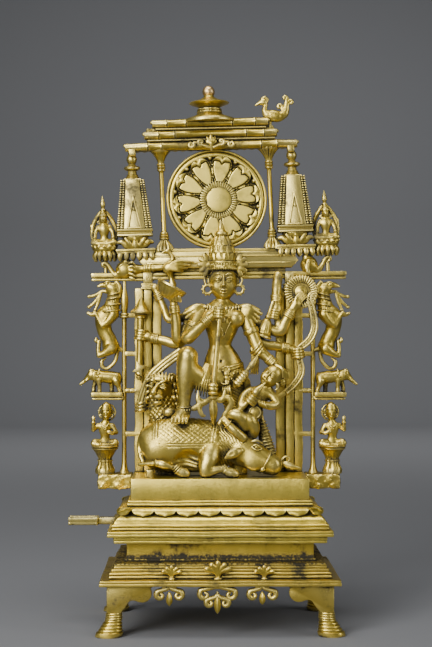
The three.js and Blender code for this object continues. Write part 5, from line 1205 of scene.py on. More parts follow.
def makara(coiled):
    wax = Wax((-44, -11, -6), (23, 9, 26), 0.55)
    wax.press(egg((-2.2, 0, 9.0), (9.0, 7.2, 9.2)), 1)
    wax.press(egg((-4.6, -0.4, 17.4), (4.4, 4.4, 3.0)), 1)
    wax.press(limb([(2, 0, 5.6), (6.8, 0, 3.4), (11, 0, 8), (14.4, 0, 14.2), (18.2, 0, 16.8), (20, 0, 14.2),
                    (18.2, 0, 12.4)], [4.6, 3.4, 2.6, 2.2, 2.0, 1.8, 1.4]), 1)
    for s in (-1, 1):
        wax.press(hoop((-1.2, 6.2 * s, 9.8), 1.7, 0.55, (90, 0, 0)), 0.2)
        wax.press(egg((-1.2, 6.2 * s, 9.8), (1.0, 0.9, 1.0)), 0.2)
        wax.press(egg((4.2, 4.6 * s, 6.0), (1.6, 0.8, 1.1)), 0.3)
        wax.press(limb([(-3.6, 5.4 * s, 14.8), (0.6, 6.2 * s, 13.8), (3.4, 5.4 * s, 11.4)], 0.7), 0.4)
        if coiled:
            for n in range(5):
                z = 15.2 - 3.6 * n
                wax.press(limb([(-7.4, 5.6 * s, z), (-10.4, 6.4 * s, z + 0.8 - 0.5 * n),
                                (-13, 5.6 * s, z - 1.2 - 0.5 * n)], [1.1, 1.2, 0.7]), 0.2)
    if not coiled:
        wax.press(limb([(-3, -6, 12), (-5, -9, 7), (-4, -9.6, 1), (-1, -8.6, -2)], [3.0, 2.6, 2.0, 1.3]), 0.8)
        return wax.cast()
    wax.press(limb([(-8, 0, 8.6), (-14, 0, 9), (-20, -1, 9.4), (-40, -4, 10)], [6.4, 5.6, 4.0, 3.2]), 1)
    for x, r in ((-22.6, 4.4), (-25.2, 4.7), (-28, 4.7), (-31, 4.4)):
        wax.press(hoop((x, -1.6, 9.6), r - 0.9, 1.3, (0, 90, 0)), 0.3)
    return wax.cast()


def pinnacle():
    wax = Wax((-15, -11, -5), (15, 9, 83), 0.55)
    wax.press(limb([(0, 0, -3), (0, 0, 16)], [2.2, 2.2]), 0.3)
    wax.press(turned((0, 0, 0), [(2.4, 14), (4.4, 17), (9.6, 23), (12.4, 25.4), (12.6, 27), (11.6, 28.4),
                                 (10.6, 30)], flat=0.8), 0.4)
    for n in range(12):
        a = math.radians(30 * n)
        x, y = math.cos(a), 0.8 * math.sin(a)
        wax.press(limb([(7.4 * x, 7.4 * y, 24), (10.6 * x, 10.6 * y, 20), (10.4 * x, 10.4 * y, 14.6)],
                       [2.6, 2.5, 0.9]), 0.25)
        wax.press(egg((10.6 * x, 10.6 * y, 28.6), (2.6, 2.6, 1.8)), 0.3)
    for s in (-1, 1):
        wax.press(limb([(9.4 * s, 0, 28), (13.4 * s, 0, 30.4)], [2.2, 0.7]), 0.5)
        wax.press(limb([(3 * s, 0, 33), (8.6 * s, -3, 34), (11.2 * s, -4, 33)], [3.6, 3.0, 2.5]), 0.8)
        wax.press(limb([(11 * s, -4.4, 32.6), (5.4 * s, -6.4, 31.6), (0.6 * s, -6.6, 31.6)], [2.4, 2.1, 1.7]), 0.5)
        wax.press(limb([(5.8 * s, 0, 49), (8.8 * s, -1.4, 43.4)], [2.3, 1.9]), 0.8)
        wax.press(limb([(8.8 * s, -1.4, 43.4), (9.4 * s, -4.6, 37.0)], [1.9, 1.5]), 0.5)
        wax.press(hoop((9.2 * s, -4.2, 38.4), 1.7, 0.6), 0.2)
        wax.press(limb([(10.4 * s, 2.6, 30), (12.4 * s, 2.8, 42), (10.4 * s, 2.8, 52), (5.0 * s, 2.8, 61),
                        (1.2 * s, 2.4, 66.4)], [1.6, 2.0, 2.4, 2.3, 1.4], 0.75), 0.5)
        wax.press(limb([(11.6 * s, 2.6, 46), (13.4 * s, 2.2, 51)], [1.4, 0.7]), 0.4)
        wax.carve(limb([(10.8 * s, 0.9, 38), (11.4 * s, 0.9, 47), (7.4 * s, 0.9, 57)], 0.5), 0.3)
        wax.press(hoop((0.4 + 4.4 * s, -1, 54), 1.2, 0.6, (90, 0, 0)), 0.2)
    wax.press(limb([(0, 0.4, 31), (0, 0.2, 40), (0, 0, 47), (0, 0, 51)], [5.6, 3.9, 5.8, 3.2], 0.75), 0.8)
    wax.press(limb([(0, 0, 50), (0.2, -0.6, 54)], [2.2, 2.2]), 0.6)
    wax.press(egg((0.3, -1, 57), (4.0, 4.0, 4.8)), 0.6)
    wax.press(turned((0.3, -0.8, 0), [(4.2, 59.6), (4.2, 61), (3.2, 62.6), (2.4, 65), (1.8, 66)]), 0.4)
    wax.press(egg((0.3, -5.0, 56.6), (0.6, 0.8, 1.3)), 0.3)
    for s in (-1, 1):
        wax.press(egg((0.3 + 1.6 * s, -4.6, 57.8), (0.9, 0.5, 0.5)), 0.1)
    wax.press(hoop((0, 0, 66.6), 2.2, 0.8), 0.2)
    wax.press(turned((0, 0, 0), [(1.4, 66), (1.6, 68), (2.6, 71), (2.5, 73.4), (1.5, 77), (0.3, 81)]), 0.3)
    return wax.cast(0.15)


birds_and_beasts = Casting()
birds_and_beasts.add(peacock().placed(60.9, DEEP - 4, ROOF + 13.5))
birds_and_beasts.add(goose().placed(-50, FACE - 3, TOP + 198))
for s in (-1, 1):
    birds_and_beasts.add(makara(s < 0).placed(s * POST_X, DEEP - 2, TOP + 199, 1, s < 0))
pour_frame(birds_and_beasts.settled(), "frame_birds_and_beasts")
pinnacles = Casting()
goddess_in_arch = pinnacle()
for s in (-1, 1):
    pinnacles.add(goddess_in_arch.placed(s * 113, DEEP, TOP + 203, 1, s < 0))
pour_frame(pinnacles.settled(), "frame_pinnacles")

# Buffalo: it kneels across the block with its legs folded under it, an engraved cloth over its back
# and its blunt strapped muzzle turned down to the front on the right. Cast hollow with the group.
# Its hollows darken over a reach of 13 mm, partly as real patina and partly as painted shade between the arms and
# under the figures.
GROUP_BRASS = brass("group_brass", (0.72, 0.54, 0.10), (0.022, 0.019, 0.011), (0.97, 0.79, 0.25), 13, 0.30, 0.78)
GROUP_SCALE = 254 / 255


def pour_group(casting, name):
    casting.placed(0, 0, BLOCK_TOP, GROUP_SCALE).pour(name, "durga_group", "figure_brass", GROUP_BRASS)


def cast_group(wax, name, easy=0.15):
    """The wax is cut flat at the top of the block, cast and poured with the group."""
    pour_group(wax.carve(brick((0, 0, -8), (200, 200, 8), 0.01), 0.05).cast(easy), name)


def lines(value, spacing, wide):
    """Fine parallel lines, 1 on the middle of each line and 0 between."""
    return np.clip(1 - np.abs((value / spacing) % 1 - 0.5) * 2 * spacing / wide, 0, 1)


def saddle_cloth(x, y, z):
    inside = np.minimum(np.minimum(x + 65.5, -5.5 + 0.16 * (z - 28) - x), z - 28.6)
    cloth = 0.5 * np.clip(inside / 0.6, 0, 1)
    border = np.exp(-((inside - 1.9) / 0.45)**2) + np.exp(-((inside - 4.6) / 0.45)**2)
    lattice = np.maximum(lines(0.8 * x + z, 4.6, 1.1), lines(0.8 * x - z, 4.6, 1.1)) * (inside > 6)
    return cloth - 0.75 * border * (inside > 0) - 0.5 * lattice


def neck_hair(x, y, z):
    return -0.7 * lines(x + 0.7 * z + 0.8 * np.sin(0.6 * z), 2.9, 1.5) * (x > -1) * (x < 25)


buffalo = Wax((-84, -46, -2), (84, 16, 64), 0.56)
buffalo.press(limb([(-57, -16, 30), (-44, -17, 30.4), (-28, -17, 30.2), (-10, -16.4, 29.4), (6, -15.6, 30)],
                   [25, 26.8, 26.6, 25, 20], 0.66))
buffalo.score((-70, -46, 24), (1, 16, 64), saddle_cloth)
buffalo.press(egg((-60, -25, 26), (14, 9.4, 15)), 3)
buffalo.carve(egg((-31, -38, 12), (16, 13, 15)), 3)
for drop_by in (0, 5, 9):
    buffalo.press(limb([(-46, -30, 19 - drop_by), (-34, -26, 21 - drop_by), (-22, -29, 17 - 0.8 * drop_by)],
                       [1.2, 1.8, 1.2]), 1.6)
buffalo.press(limb([(-79, -29, 12.6), (-72, -33, 13.4), (-65, -36, 14)], [1.9, 2.0, 2.4]), 1)
buffalo.press(hoop((-62.4, -36.4, 14.4), 2.9, 0.9, (0, 84, 0)), 0.4)
buffalo.press(limb([(-61, -36.6, 14.2), (-55.6, -38, 13.2), (-47.4, -38.4, 10.6)], [3.2, 4.1, 1.9]), 0.8)
buffalo.press(brick((-68.6, -30, 3.4), (3.6, 4, 4.6), 1.5), 1)
for x, z, size in ((-36.4, 5.2, 1.0), (10.4, 5.0, 1.22)):
    buffalo.press(egg((x, -38.2, z), (7.6 * size, 5.4, 5.2), (0, 16, 0)), 1)
    buffalo.carve(limb([(x - 1, -44.6, z + 1), (x + 6.6 * size, -43, z - 4.6)], [0.5, 0.7]), 0.3)
    for n in range(3):
        buffalo.press(hoop((x - 4.4 * size - 1.5 * n, -38, z + 2.4 + 1.5 * n), 4.3 - 0.5 * n, 0.8, (0, 135, 0)), 0.3)
buffalo.press(limb([(-8.6, -27, 25), (-10.6, -32, 18.6), (-14.0, -36.6, 10), (-14.6, -37.4, 5.4)],
                   [10.8, 10.2, 6.9, 5.8]), 1.6)
buffalo.press(limb([(-11, -38, 5.2), (-4, -38.6, 7.6), (4, -38.6, 9.4)], [4.8, 4.1, 3.6]), 1)
buffalo.press(limb([(4, -15, 36), (15, -19, 33), (24, -23, 28)], [16.6, 14.6, 12.6], 0.9), 3)
buffalo.score((-2, -42, 10), (26, 12, 60), neck_hair)
buffalo.press(limb([(22, -22.6, 24.4), (32, -25, 20.6), (42, -27, 15.8), (50, -28.6, 12.0)],
                   [14.4, 13.9, 12.2, 10.2], 0.88), 1.6)
buffalo.press(egg((52.6, -29.4, 11.4), (8.6, 8.6, 9.8)), 1.2)
buffalo.press(egg((31, -34, 13.4), (8.4, 4.0, 6.4), (0, 28, 0)), 3)
buffalo.carve(hoop((46.8, -28.2, 13.8), 11.6, 1.1, (0, 118, 0)), 0.4)
buffalo.press(hoop((44.9, -28.0, 14.7), 11.5, 1.0, (0, 118, 0)), 0.4)
buffalo.press(egg((41.6, -38.6, 8.2), (2.4, 1.6, 2.0)), 0.5)
for y, z in ((-36.4, 14.6), (-27.6, 17)):
    buffalo.carve(egg((60.4, y, z), (1.7, 1.9, 1.2), (0, 40, 0)), 0.5)
buffalo.carve(limb([(49, -38.6, 5.6), (54, -38.2, 4.6), (60.6, -33.6, 5.6)], 0.8), 0.4)
buffalo.carve(egg((35.8, -37.2, 29.8), (4.4, 2.2, 2.8), (0, 20, 0)), 0.8)
buffalo.press(egg((35.8, -35.4, 29.8), (3.0, 2.4, 1.9), (0, 20, 0)), 0.3)
for z_up, rise in ((2.6, 1.6), (-2.2, -0.8)):
    buffalo.press(limb([(30.4, -36.6, 30.2), (35.4, -38.0, 29.6 + z_up), (41.2, -35.4, 28 + 0.3 * rise)],
                       [0.6, 0.9, 0.6]), 0.4)
buffalo.press(limb([(31, -36, 35.4), (36, -36.4, 36.2), (41.4, -34.4, 33.4)], [1.0, 1.4, 0.9]), 1)
buffalo.press(limb([(20.6, -35, 26.4), (13, -38, 24), (5.2, -37.4, 19.0)], [2.6, 4.9, 1.2], 0.55), 0.8)
buffalo.carve(limb([(16.6, -41.0, 26.0), (11.4, -41.4, 24.0), (7.6, -40.0, 21)], [1.6, 2.2, 0.9], 0.7), 0.5)
buffalo.press(limb([(49.6, -16, 18), (46, -14, 32), (43, -13, 46), (41.6, -12, 60.6)],
                   [7.4, 6.6, 4.6, 1.4], 0.8), 0.8)
buffalo.press(limb([(27, -18, 38), (25.6, -15, 44), (26.8, -12, 51)], [4.0, 3.0, 1.0]), 0.8)
for n in range(11):
    share = n / 11
    buffalo.press(hoop((49 - 7.4 * share, -15.6 + 3 * share, 22 + 34 * share), 7.5 - 4.4 * share, 0.85,
                       (0, -12, 0), 0.8), 0.3)
buffalo.press(limb([(58, -20, 12), (66, -22, 11.6), (72, -22.6, 9.4), (79.4, -22, 8)],
                   [1.4, 3.4, 2.8, 0.8], 0.6), 0.6)
buffalo.press(limb([(60, -19, 14), (65, -19, 19), (69.6, -19, 17), (67.4, -19, 13.6)], [1.2, 1.2, 1.1, 0.9]), 0.4)
buffalo.press(limb([(-76, -18, 45), (-79.4, -20, 36), (-79, -24, 24), (-75.6, -27.6, 15)], [1.7, 1.8, 1.8, 2.2]), 0.6)
buffalo.press(egg((-77.6, -25.4, 20), (2.8, 2.4, 3.4)), 0.4)
cast_group(buffalo, "buffalo", 0.2)

# Lion: it rears up behind the buffalo's rump on the left and looks out over it, heavy-browed, with
# upright tufts on its forehead and a dark curled mane down its chest.
lion = Wax((-80, -34, -2), (-34, 18, 106), 0.5)
lion.press(limb([(-53, 3, 0), (-54, 1, 30), (-56, -1, 56), (-57.6, -3, 74)], [13, 14, 14.6, 13], 0.85))
lion.score((-76, -30, 2), (-34, 18, 78),
           lambda x, y, z: 0.8 * np.cos(1.25 * x + 1.2 * np.sin(0.5 * z)) * np.cos(1.05 * z) - 0.2)
lion.press(egg((-58.6, -7, 87.2), (12.0, 10.4, 12.4)), 1.5)
lion.press(egg((-61.6, -16.4, 80.2), (7.4, 6.6, 6.2)), 2.5)
lion.press(limb([(-60.4, -16.0, 91), (-63.8, -21.0, 86), (-65.2, -23.4, 83)], [2.0, 2.6, 3.2]), 1.2)
for x in (-67.2, -63.6):
    lion.carve(egg((x, -26.4, 82.0), (0.9, 1.0, 0.8)), 0.3)
lion.press(egg((-60.4, -21.6, 78.4), (5.2, 3.3, 2.7), (0, 8, 0)), 0.6)
lion.press(egg((-67.2, -19.6, 79.0), (3.4, 3.2, 2.5)), 0.6)
lion.carve(limb([(-53.6, -18.6, 76.6), (-60, -24.4, 75.2), (-68.6, -20.4, 76.2)], [0.7, 1.3, 0.8]), 0.3)
lion.press(egg((-61.4, -19.2, 72.8), (5.0, 3.8, 2.6)), 0.8)
for n in range(4):
    lion.press(egg((-57 - 3 * n, -22.8 + 0.5 * abs(n - 1.5), 75.4), (0.6, 0.7, 1.0)), 0.15)
for x, y, z, wide, side in ((-55.2, -16.6, 88.8, 1.0, 1), (-66.8, -15.6, 90.0, 0.72, -1)):
    lion.carve(egg((x, y - 1.8, z), (4.8 * wide, 2.6, 2.8)), 0.6)
    lion.press(egg((x, y, z), (3.5 * wide, 2.6, 1.7)), 0.3)
    for rise, thick in ((2.0, 0.75), (-2.0, 0.6)):
        lion.press(limb([(x - 4.6 * wide, y - 0.6, z - 0.4), (x, y - 2.6, z + rise),
                         (x + 4.8 * wide, y + 0.8, z + 0.3)], thick), 0.3)
    lion.press(limb([(x - 5.6 * side * wide, y - 1.4, z + 2.2), (x, y - 2.2, z + 4.9),
                     (x + 6.6 * side * wide, y + 2.2, z + 3.6)], [1.1, 1.5, 0.9]), 0.5)
for n in range(7):
    x = -65.6 + 2.9 * n
    back = 0.035 * (x + 57.6)**2
    for shift, size in ((-0.7, 0.62), (0.7, 0.8)):
        lion.press(limb([(x + shift, -15.2 + back, 91.6), (x + 1.3 * shift, -16.4 + back, 96.4),
                         (x + 0.2 * shift + 0.34 * (x + 57), -12.0 + back, 103.0 - back)],
                        [1.2 * size, 1.9 * size, 0.4]), 0.2)
for row in range(7):
    for column in range(3):
        x, z = -47.0 + 3.4 * column + 1.4 * (row % 2), 96 - 6.4 * row
        lion.press(limb([(x - 1.4, -5.6 + 2.6 * column, z + 3.2), (x + 0.9, -7.4 + 2.6 * column, z),
                         (x + 0.2, -5.2 + 2.6 * column, z - 4.2)], [1.4, 2.1, 0.8]), 0.3)
    if row < 4:
        lion.press(limb([(-69.0, -9, 96 - 6 * row), (-72.4, -7.4, 94 - 6 * row), (-72.6, -4.4, 89.6 - 6 * row)],
                        [1.3, 1.8, 0.8]), 0.3)
lion.press(hoop((-46.4, -8, 98.6), 2.2, 1.0, (80, 0, 20)), 0.3)
lion.press(egg((-50, -16, 63), (6.4, 5.0, 5.0)), 1.5)
cast_group(lion, "lion", 0.2)

# Heads: one calm, even face with half-lowered lids is modelled for the goddess, and again smaller,
# with a moustache, for the buffalo demon.


def face(moustache=False):
    """A head from neck to hairline, facing -Y."""
    head = Wax((-19, -20, -22), (19, 15, 18), 0.42)
    head.press(egg((0, 0, 0.6), (13.0, 12.2, 15.4)))
    head.press(egg((0, -3.0, -6.6), (10.4, 9.6, 9.4)), 3)
    head.press(egg((0, -9.2, -12.6), (3.4, 2.7, 2.6)), 2.5)
    head.press(limb([(0, 1.4, -22), (0, 0.4, -12)], 6.2), 2)
    for s in (-1, 1):
        head.press(egg((5.9 * s, -8.6, -4.2), (4.2, 3.6, 4.8)), 2.5)
        head.carve(egg((5.0 * s, -14.0, 2.2), (4.0, 2.4, 2.4)), 1.8)
        head.press(egg((5.0 * s, -9.9, 1.8), (3.5, 2.9, 1.9)), 0.25)
        head.press(limb([(1.6 * s, -11.6, 1.4), (3.4 * s, -12.7, 3.3), (5.6 * s, -12.7, 3.6), (8.6 * s, -9.9, 2.2)],
                        [0.5, 0.75, 0.75, 0.4]), 0.2)
        head.press(limb([(1.8 * s, -11.4, 1.2), (4.8 * s, -12.4, 0.0), (8.4 * s, -9.9, 1.6)], [0.3, 0.45, 0.3]), 0.2)
        head.press(limb([(2.1 * s, -12.5, 6.3), (4.7 * s, -12.7, 7.7), (7.8 * s, -11.0, 7.1), (10.4 * s, -8.0, 5.0)],
                        [0.5, 0.65, 0.6, 0.3]), 0.5)
        head.press(egg((2.0 * s, -13.4, -3.9), (1.4, 1.4, 1.15)), 0.6)
        head.press(limb([(0.2, -13.8, -7.4), (1.7 * s, -13.3, -7.2), (3.9 * s, -11.2, -7.6)], [0.75, 0.8, 0.35]), 0.5)
        if moustache:
            head.press(limb([(0.3 * s, -14.4, -6.0), (4.4 * s, -12.8, -6.6), (8.4 * s, -9.6, -4.2)],
                            [1.2, 1.3, 0.6]), 0.3)
    head.press(limb([(0, -12.2, 6), (0, -13.8, 0.4), (0, -14.9, -2.8)], [0.8, 1.15, 1.7]), 1.3)
    head.carve(limb([(-3.6, -12.8, -8.3), (0, -14.6, -8.5), (3.6, -12.8, -8.3)], 0.4), 0.2)
    head.press(limb([(-2.6, -12.0, -9.6), (0, -13.1, -9.9), (2.6, -12.0, -9.6)], [0.6, 0.95, 0.6]), 0.6)
    return head.cast(0.05)


def turned_by(casting, turn, place, scale=1.0):
    """A copy turned by degrees about X, Y and Z, then moved to its place."""
    rows = np.array(Euler([math.radians(a) for a in turn]).to_matrix())
    return casting.moved(lambda p: (p * scale) @ rows.T + np.array(place, float))


# Buffalo demon: he breaks out of the neck in human form, bent back under the goddess's hand, with a
# blade in his fist and a small round shield.


def grip(wax, place, along, size, shaft=2.4, wrist=(1, 0, 0)):
    """A closed fist round a shaft: four fingers cross its front from the wrist's side."""
    place, along = np.array(place, float), np.array(along, float) / np.linalg.norm(along)
    side = np.array(wrist, float) - along * np.dot(wrist, along)
    side /= np.linalg.norm(side)
    out = np.array((0.0, -1.0, 0.0))
    heel = place + side * (shaft + 0.3 * size) + out * 0.1 * size
    wax.press(limb([heel - along * 0.55 * size, heel + along * 0.5 * size], 0.5 * size, 0.8), 0.8)
    for n in range(4):
        knuckle = place + along * (n - 1.6) * 0.46 * size
        wax.press(limb([knuckle + side * (shaft + 0.5 * size) + out * 0.3 * size,
                        knuckle + side * 0.5 * shaft + out * (shaft + 0.28 * size),
                        knuckle - side * 0.7 * shaft + out * (shaft + 0.1 * size),
                        knuckle - side * (shaft + 0.2 * size)],
                       [0.25 * size, 0.27 * size, 0.25 * size, 0.2 * size]), 0.15)
    wax.press(limb([heel + along * 0.55 * size, place + along * 0.72 * size + out * (shaft + 0.2 * size),
                    place + along * 0.5 * size - side * shaft + out * shaft * 0.8],
                   [0.3 * size, 0.26 * size, 0.2 * size]), 0.2)


demon = Wax((-4, -42, 30), (72, -2, 118), 0.5)
demon.press(limb([(22, -14, 36), (28, -17, 56), (35, -18, 70), (42, -17, 82)], [10.2, 8.4, 8.8, 8.6], 0.8))
demon.press(limb([(31, -17, 82), (49, -17, 83.6)], [5.6, 5.4]), 2)
demon.press(limb([(43.6, -17, 84), (48.4, -18, 92)], [4.8, 4.6]), 1)
for n in range(14):
    a = math.radians(-52 + 15.4 * n)
    x, z = 52.6 + 8.8 * math.cos(a), 98.6 + 8.8 * math.sin(a)
    demon.press(limb([(x - 2.6 * math.cos(a), -19.4, z - 2.6 * math.sin(a)), (x, -17.4, z),
                      (x + 0.6 * math.cos(a), -13, z + 0.6 * math.sin(a))], [1.2, 1.5, 1.2]), 0.2)
demon.press(egg((61, -14.6, 96), (5.4, 5.2, 8.6), (0, -14, 0)), 0.8)
demon.score((54, -24, 84), (70, -6, 108), lambda x, y, z: -0.55 * lines(z - 0.4 * x, 2.6, 1.3))
demon.press(limb([(54.4, -22, 92.4), (57.6, -23, 90.6), (57.4, -23, 86.6), (54.8, -22.6, 85.4)],
                 [1.0, 1.2, 1.1, 0.7]), 0.3)
demon.press(limb([(46, -18, 82.6), (52.6, -19.6, 78.4), (56, -22.6, 72), (50, -27, 69.6), (42, -30, 71.6)],
                 [5.8, 5.0, 4.6, 4.2, 3.4]), 1.5)
for x, z in ((44.6, 70.6), (42.4, 71.6), (40.2, 72.6), (38.2, 73.4)):
    demon.press(hoop((x, -30.0, z), 3.7, 0.85, (0, 68, 0)), 0.25)
grip(demon, (31.2, -31.4, 78.4), (0.62, 0, 0.78), 6.6, 2.6, (1, 0, -0.4))
demon.press(limb([(34.2, -35.4, 82.2), (36.0, -35.6, 84.4), (44.6, -34.6, 93.0)], [3.2, 3.9, 0.4]), 0.3)
demon.press(hoop((35.0, -35.4, 83.2), 3.5, 0.8, (0, 38, 0)), 0.2)
demon.press(limb([(29, -31.4, 75.6), (25, -30.6, 71.4), (19.6, -28, 65.8)], [2.6, 2.7, 3.6]), 0.5)
demon.press(limb([(38, -14, 82), (31, -20, 84), (24, -24, 79), (21, -27.6, 71)], [5.2, 4.6, 4.4, 4.0]), 1.5)
demon.press(egg((34.6, -25.6, 63.4), (8.4, 5.0, 8.0)), 0.8)
demon.press(hoop((34.6, -29.8, 63.4), 5.6, 0.6, (90, 0, 0)), 0.3)
demon.press(limb([(8, -24, 57), (14, -28.6, 61.6), (21, -29, 58), (24.6, -26, 50)], [4.4, 6.2, 6.6, 6.0]), 1.0)
demon.press(limb([(23, -25, 60), (29.6, -27.4, 56), (33.4, -25.6, 48), (33, -22, 42)], [5.6, 6.8, 6.4, 5.6]), 0.8)
demon.press(limb([(4.0, -29.4, 57), (8.4, -32.4, 51.6), (14.6, -33.4, 45.6), (22.8, -31.6, 38.6)],
                 [3.2, 3.9, 4.5, 4.6]), 0.6)
demon.press(hoop((8.0, -32, 52.0), 4.5, 0.7, (0, 132, 0)), 0.3)
demon.press(limb([(4.4, -29.6, 57.4), (1.6, -31.4, 55.6), (-0.6, -33, 52.6)], [3.0, 2.6, 1.6], 0.8), 0.6)
for n in range(3):
    demon.press(hoop((20.4 - 1.8 * n, -28.8, 60.2 + 0.3 * n), 6.6 - 0.3 * n, 0.6, (0, 76, 0)), 0.3)
cast_group(demon, "demon")
pour_group(turned_by(face(True), (-8, 40, -30), (51.6, -18.4, 98.6), 0.74), "demon_face")

# Goddess: the many-armed figure is cast with the group. Her raised foot is on the buffalo's back, the
# other leg stands behind it in a pleated skirt; belts, sashes and necklaces are laid on in wax thread.
goddess = Wax((-60, -48, -2), (44, 16, 182), 0.56)
goddess.press(limb([(7, -3, 88), (5, -3.6, 97), (3.6, -4.5, 107), (2.4, -5, 116), (0.8, -5, 128), (1.6, -6, 140),
                    (2.6, -6, 151), (2.6, -4.8, 161)], [16.6, 19.6, 19.6, 15.8, 10.9, 13.2, 17.0, 16], 0.7))
goddess.press(limb([(-16.4, -3.4, 163), (21.4, -3.4, 163.6)], [6.8, 6.8]), 3)
goddess.press(limb([(3, -5, 165), (3.8, -6.6, 180)], [6.4, 5.8]), 2.5)
for x, z in ((-9.0, 155.6), (15.8, 155.4)):
    goddess.press(egg((x, -12.2, z), (9.2, 8.2, 9.0)), 2.5)
goddess.carve(egg((1.4, -17.0, 113.4), (1.1, 2.2, 1.4)), 0.7)
goddess.press(limb([(6, -7, 97), (-9, -14, 95), (-20, -20.6, 96.4), (-29.6, -26, 104)], [13.4, 12.4, 11.4, 10.6]), 3)
goddess.press(limb([(-31.6, -27.6, 118.4), (-32.6, -28.6, 109), (-33.8, -28.4, 96), (-34.4, -28, 83),
                    (-34.8, -28, 72), (-35, -28, 65)], [10.2, 10.0, 9.0, 7.2, 5.9, 6.0]), 2)
goddess.press(egg((-32.0, -34.4, 119), (5.8, 4.0, 6.2)), 3)
goddess.press(limb([(-35, -27, 64), (-38.2, -31.6, 61), (-41.0, -37, 57.6)], [6.4, 6.6, 5.2], 1.1), 2)
for n in range(5):
    x = -46.6 + 3.5 * n
    goddess.press(limb([(x + 1.6, -36.6, 60.2), (x, -42.0, 57.6), (x - 0.3, -44.2, 54.6)],
                       [2.0, 1.75 + 0.3 * (n == 4), 1.5]), 0.3)
    goddess.press(egg((x - 0.4, -45.4, 55.6), (1.0, 0.5, 0.8)), 0.1)
goddess.press(hoop((-34.8, -28.4, 69.4), 6.6, 0.8, (8, 0, 0)), 0.3)
for n in range(16):
    a = math.radians(22.5 * n)
    goddess.press(egg((-34.8 + 7.0 * math.cos(a), -28.4 + 7.0 * math.sin(a), 66.8 + 1.0 * math.sin(a)),
                      (1.0, 1.0, 1.5)), 0.2)
goddess.press(limb([(11, -1, 100), (15, 0, 84), (18, 1.4, 60), (19, 2, 40), (19, 3, 0)], [15, 14, 11.8, 10, 9.4]), 3)
goddess.score((3, -20, 40), (36, 16, 99), lambda x, y, z: -0.7 * lines(z + 0.5 * x, 3.0, 1.6) * (z < 97) * (x > 4))
pleats = ((-10.6, -22.6, 110.4), (-14, -28.8, 101), (-18.0, -29.8, 91), (-19.6, -25.6, 80))
for n in range(8):
    shift = np.array([-6.0 + 2.2 * n, 0.5 * abs(n - 3) - 1.4, 0.8 * (3 - n)])
    goddess.press(limb([np.array(p) + shift * (0.5 + 0.25 * i) for i, p in enumerate(pleats)],
                       [0.7, 1.0, 1.1, 0.6]), 0.2)
waist = [(3.8 + 19.4 * math.cos(a), -4.6 + 14.0 * math.sin(a),
          -2.8 * math.exp(-(math.cos(a) / 0.6)**2) * (math.sin(a) < 0)) for a in np.linspace(0, 2 * math.pi, 26)]
for z, thick in ((107.6, 1.1), (105.0, 1.5), (102.2, 1.1)):
    goddess.press(limb([(x, y, z + dip + 0.18 * x) for x, y, dip in waist], thick, 1, 2), 0.25)
for x, y, dip in waist[12:26]:
    goddess.press(egg((x, y - 1.0, 100.0 + dip + 0.18 * x), (1.3, 1.2, 1.6)), 0.2)
for loop in ([(-13.4, -18.4, 109), (-10, -21.6, 101.6), (-4.6, -20.6, 100.4), (-0.6, -18.8, 106)],
             [(-15, -20, 107), (-11.6, -25.0, 96.6), (-5, -24, 94), (-0.4, -19.6, 101)],
             [(9, -19.4, 102), (13.6, -18.6, 94), (19.6, -15, 95), (23.4, -8, 104)],
             [(-1, -20.6, 99), (1.6, -23, 92), (7.6, -23, 91.6), (10, -20.6, 98)]):
    path, _ = smooth_path(loop, 1.0, 6)
    for p in path[::2]:
        goddess.press(egg(p, (1.15, 1.15, 1.15)), 0.2)
goddess.press(egg((6.4, -19.8, 105.6), (4.6, 2.0, 3.4)), 0.5)
for n in range(7):
    a = math.radians(360 / 7 * n)
    goddess.press(egg((6.4 + 3.4 * math.cos(a), -21.4, 105.6 + 2.7 * math.sin(a)), (1.6, 1.2, 1.3)), 0.15)
for n, z in enumerate((101.0, 97.2, 93.4)):
    goddess.press(egg((6.6, -22.0, z), (2.6 - 0.5 * n, 1.8, 2.2)), 0.2)
    goddess.press(hoop((6.6, -22.4, z), 2.2 - 0.4 * n, 0.6, (90, 0, 0)), 0.2)
for n in range(4):
    goddess.press(limb([(3.6 + 2 * n, -19, 92), (3.0 + 2.4 * n, -21.4, 85), (3.4 + 2.8 * n, -19.4, 77)],
                       [0.9, 1.3, 0.8]), 0.2)
    goddess.press(limb([(21.6 + 1.4 * n, -11, 104 - 2 * n), (24.6 + 1.4 * n, -12, 95), (27 + 1.6 * n, -10, 80 + n)],
                       [1.1, 1.3, 0.8]), 0.2)
for thick, strand in (
        (1.0, [(-11, -8, 169.6), (-6.6, -13.6, 165.0), (3.4, -15.4, 162.4), (13.4, -13.6, 165.0), (17.4, -8, 169.6)]),
        (1.35, [(-17, -7, 167.4), (-9.6, -14.8, 161.2), (3.6, -17.4, 157.8), (16.2, -14.8, 161.2),
                (23.4, -7, 167.8)]),
        (0.7, [(-12, -8, 168.6), (-4, -18.0, 155), (2.4, -18.6, 145), (4.2, -15.6, 137), (7.2, -18.6, 145),
               (12.6, -18.0, 155), (20, -8, 168.6)])):
    path, _ = smooth_path(strand, 1.0, 7)
    for p in path[::2] if thick > 0.8 else path:
        goddess.press(egg(p, (thick, thick, thick * 1.2)), 0.2)
goddess.press(egg((3.8, -18.2, 154.6), (2.4, 1.5, 2.8)), 0.4)
for n in range(19):
    a = math.pi * (n + 0.5) / 19
    goddess.press(egg((3.6 - 21 * math.cos(a), -5.6 - 9.4 * math.sin(a), 169.4 - 3.4 * math.sin(a)),
                      (1.15, 1.1, 2.1)), 0.15)
for s in (-1, 1):
    for n in range(5):
        root = np.array((3 + 17.4 * s, -8.6, 168.4 - 0.9 * n))
        tip = np.array((3 + (38.4 - 2.4 * abs(n - 1)) * s, -7.6, 164.6 - 3.9 * n))
        goddess.press(limb([root, (root + tip) / 2 + (0, -2.0, 1.4), tip], [1.7, 2.7, 1.9]), 0.15)
cast_group(goddess, "goddess", 0.12)

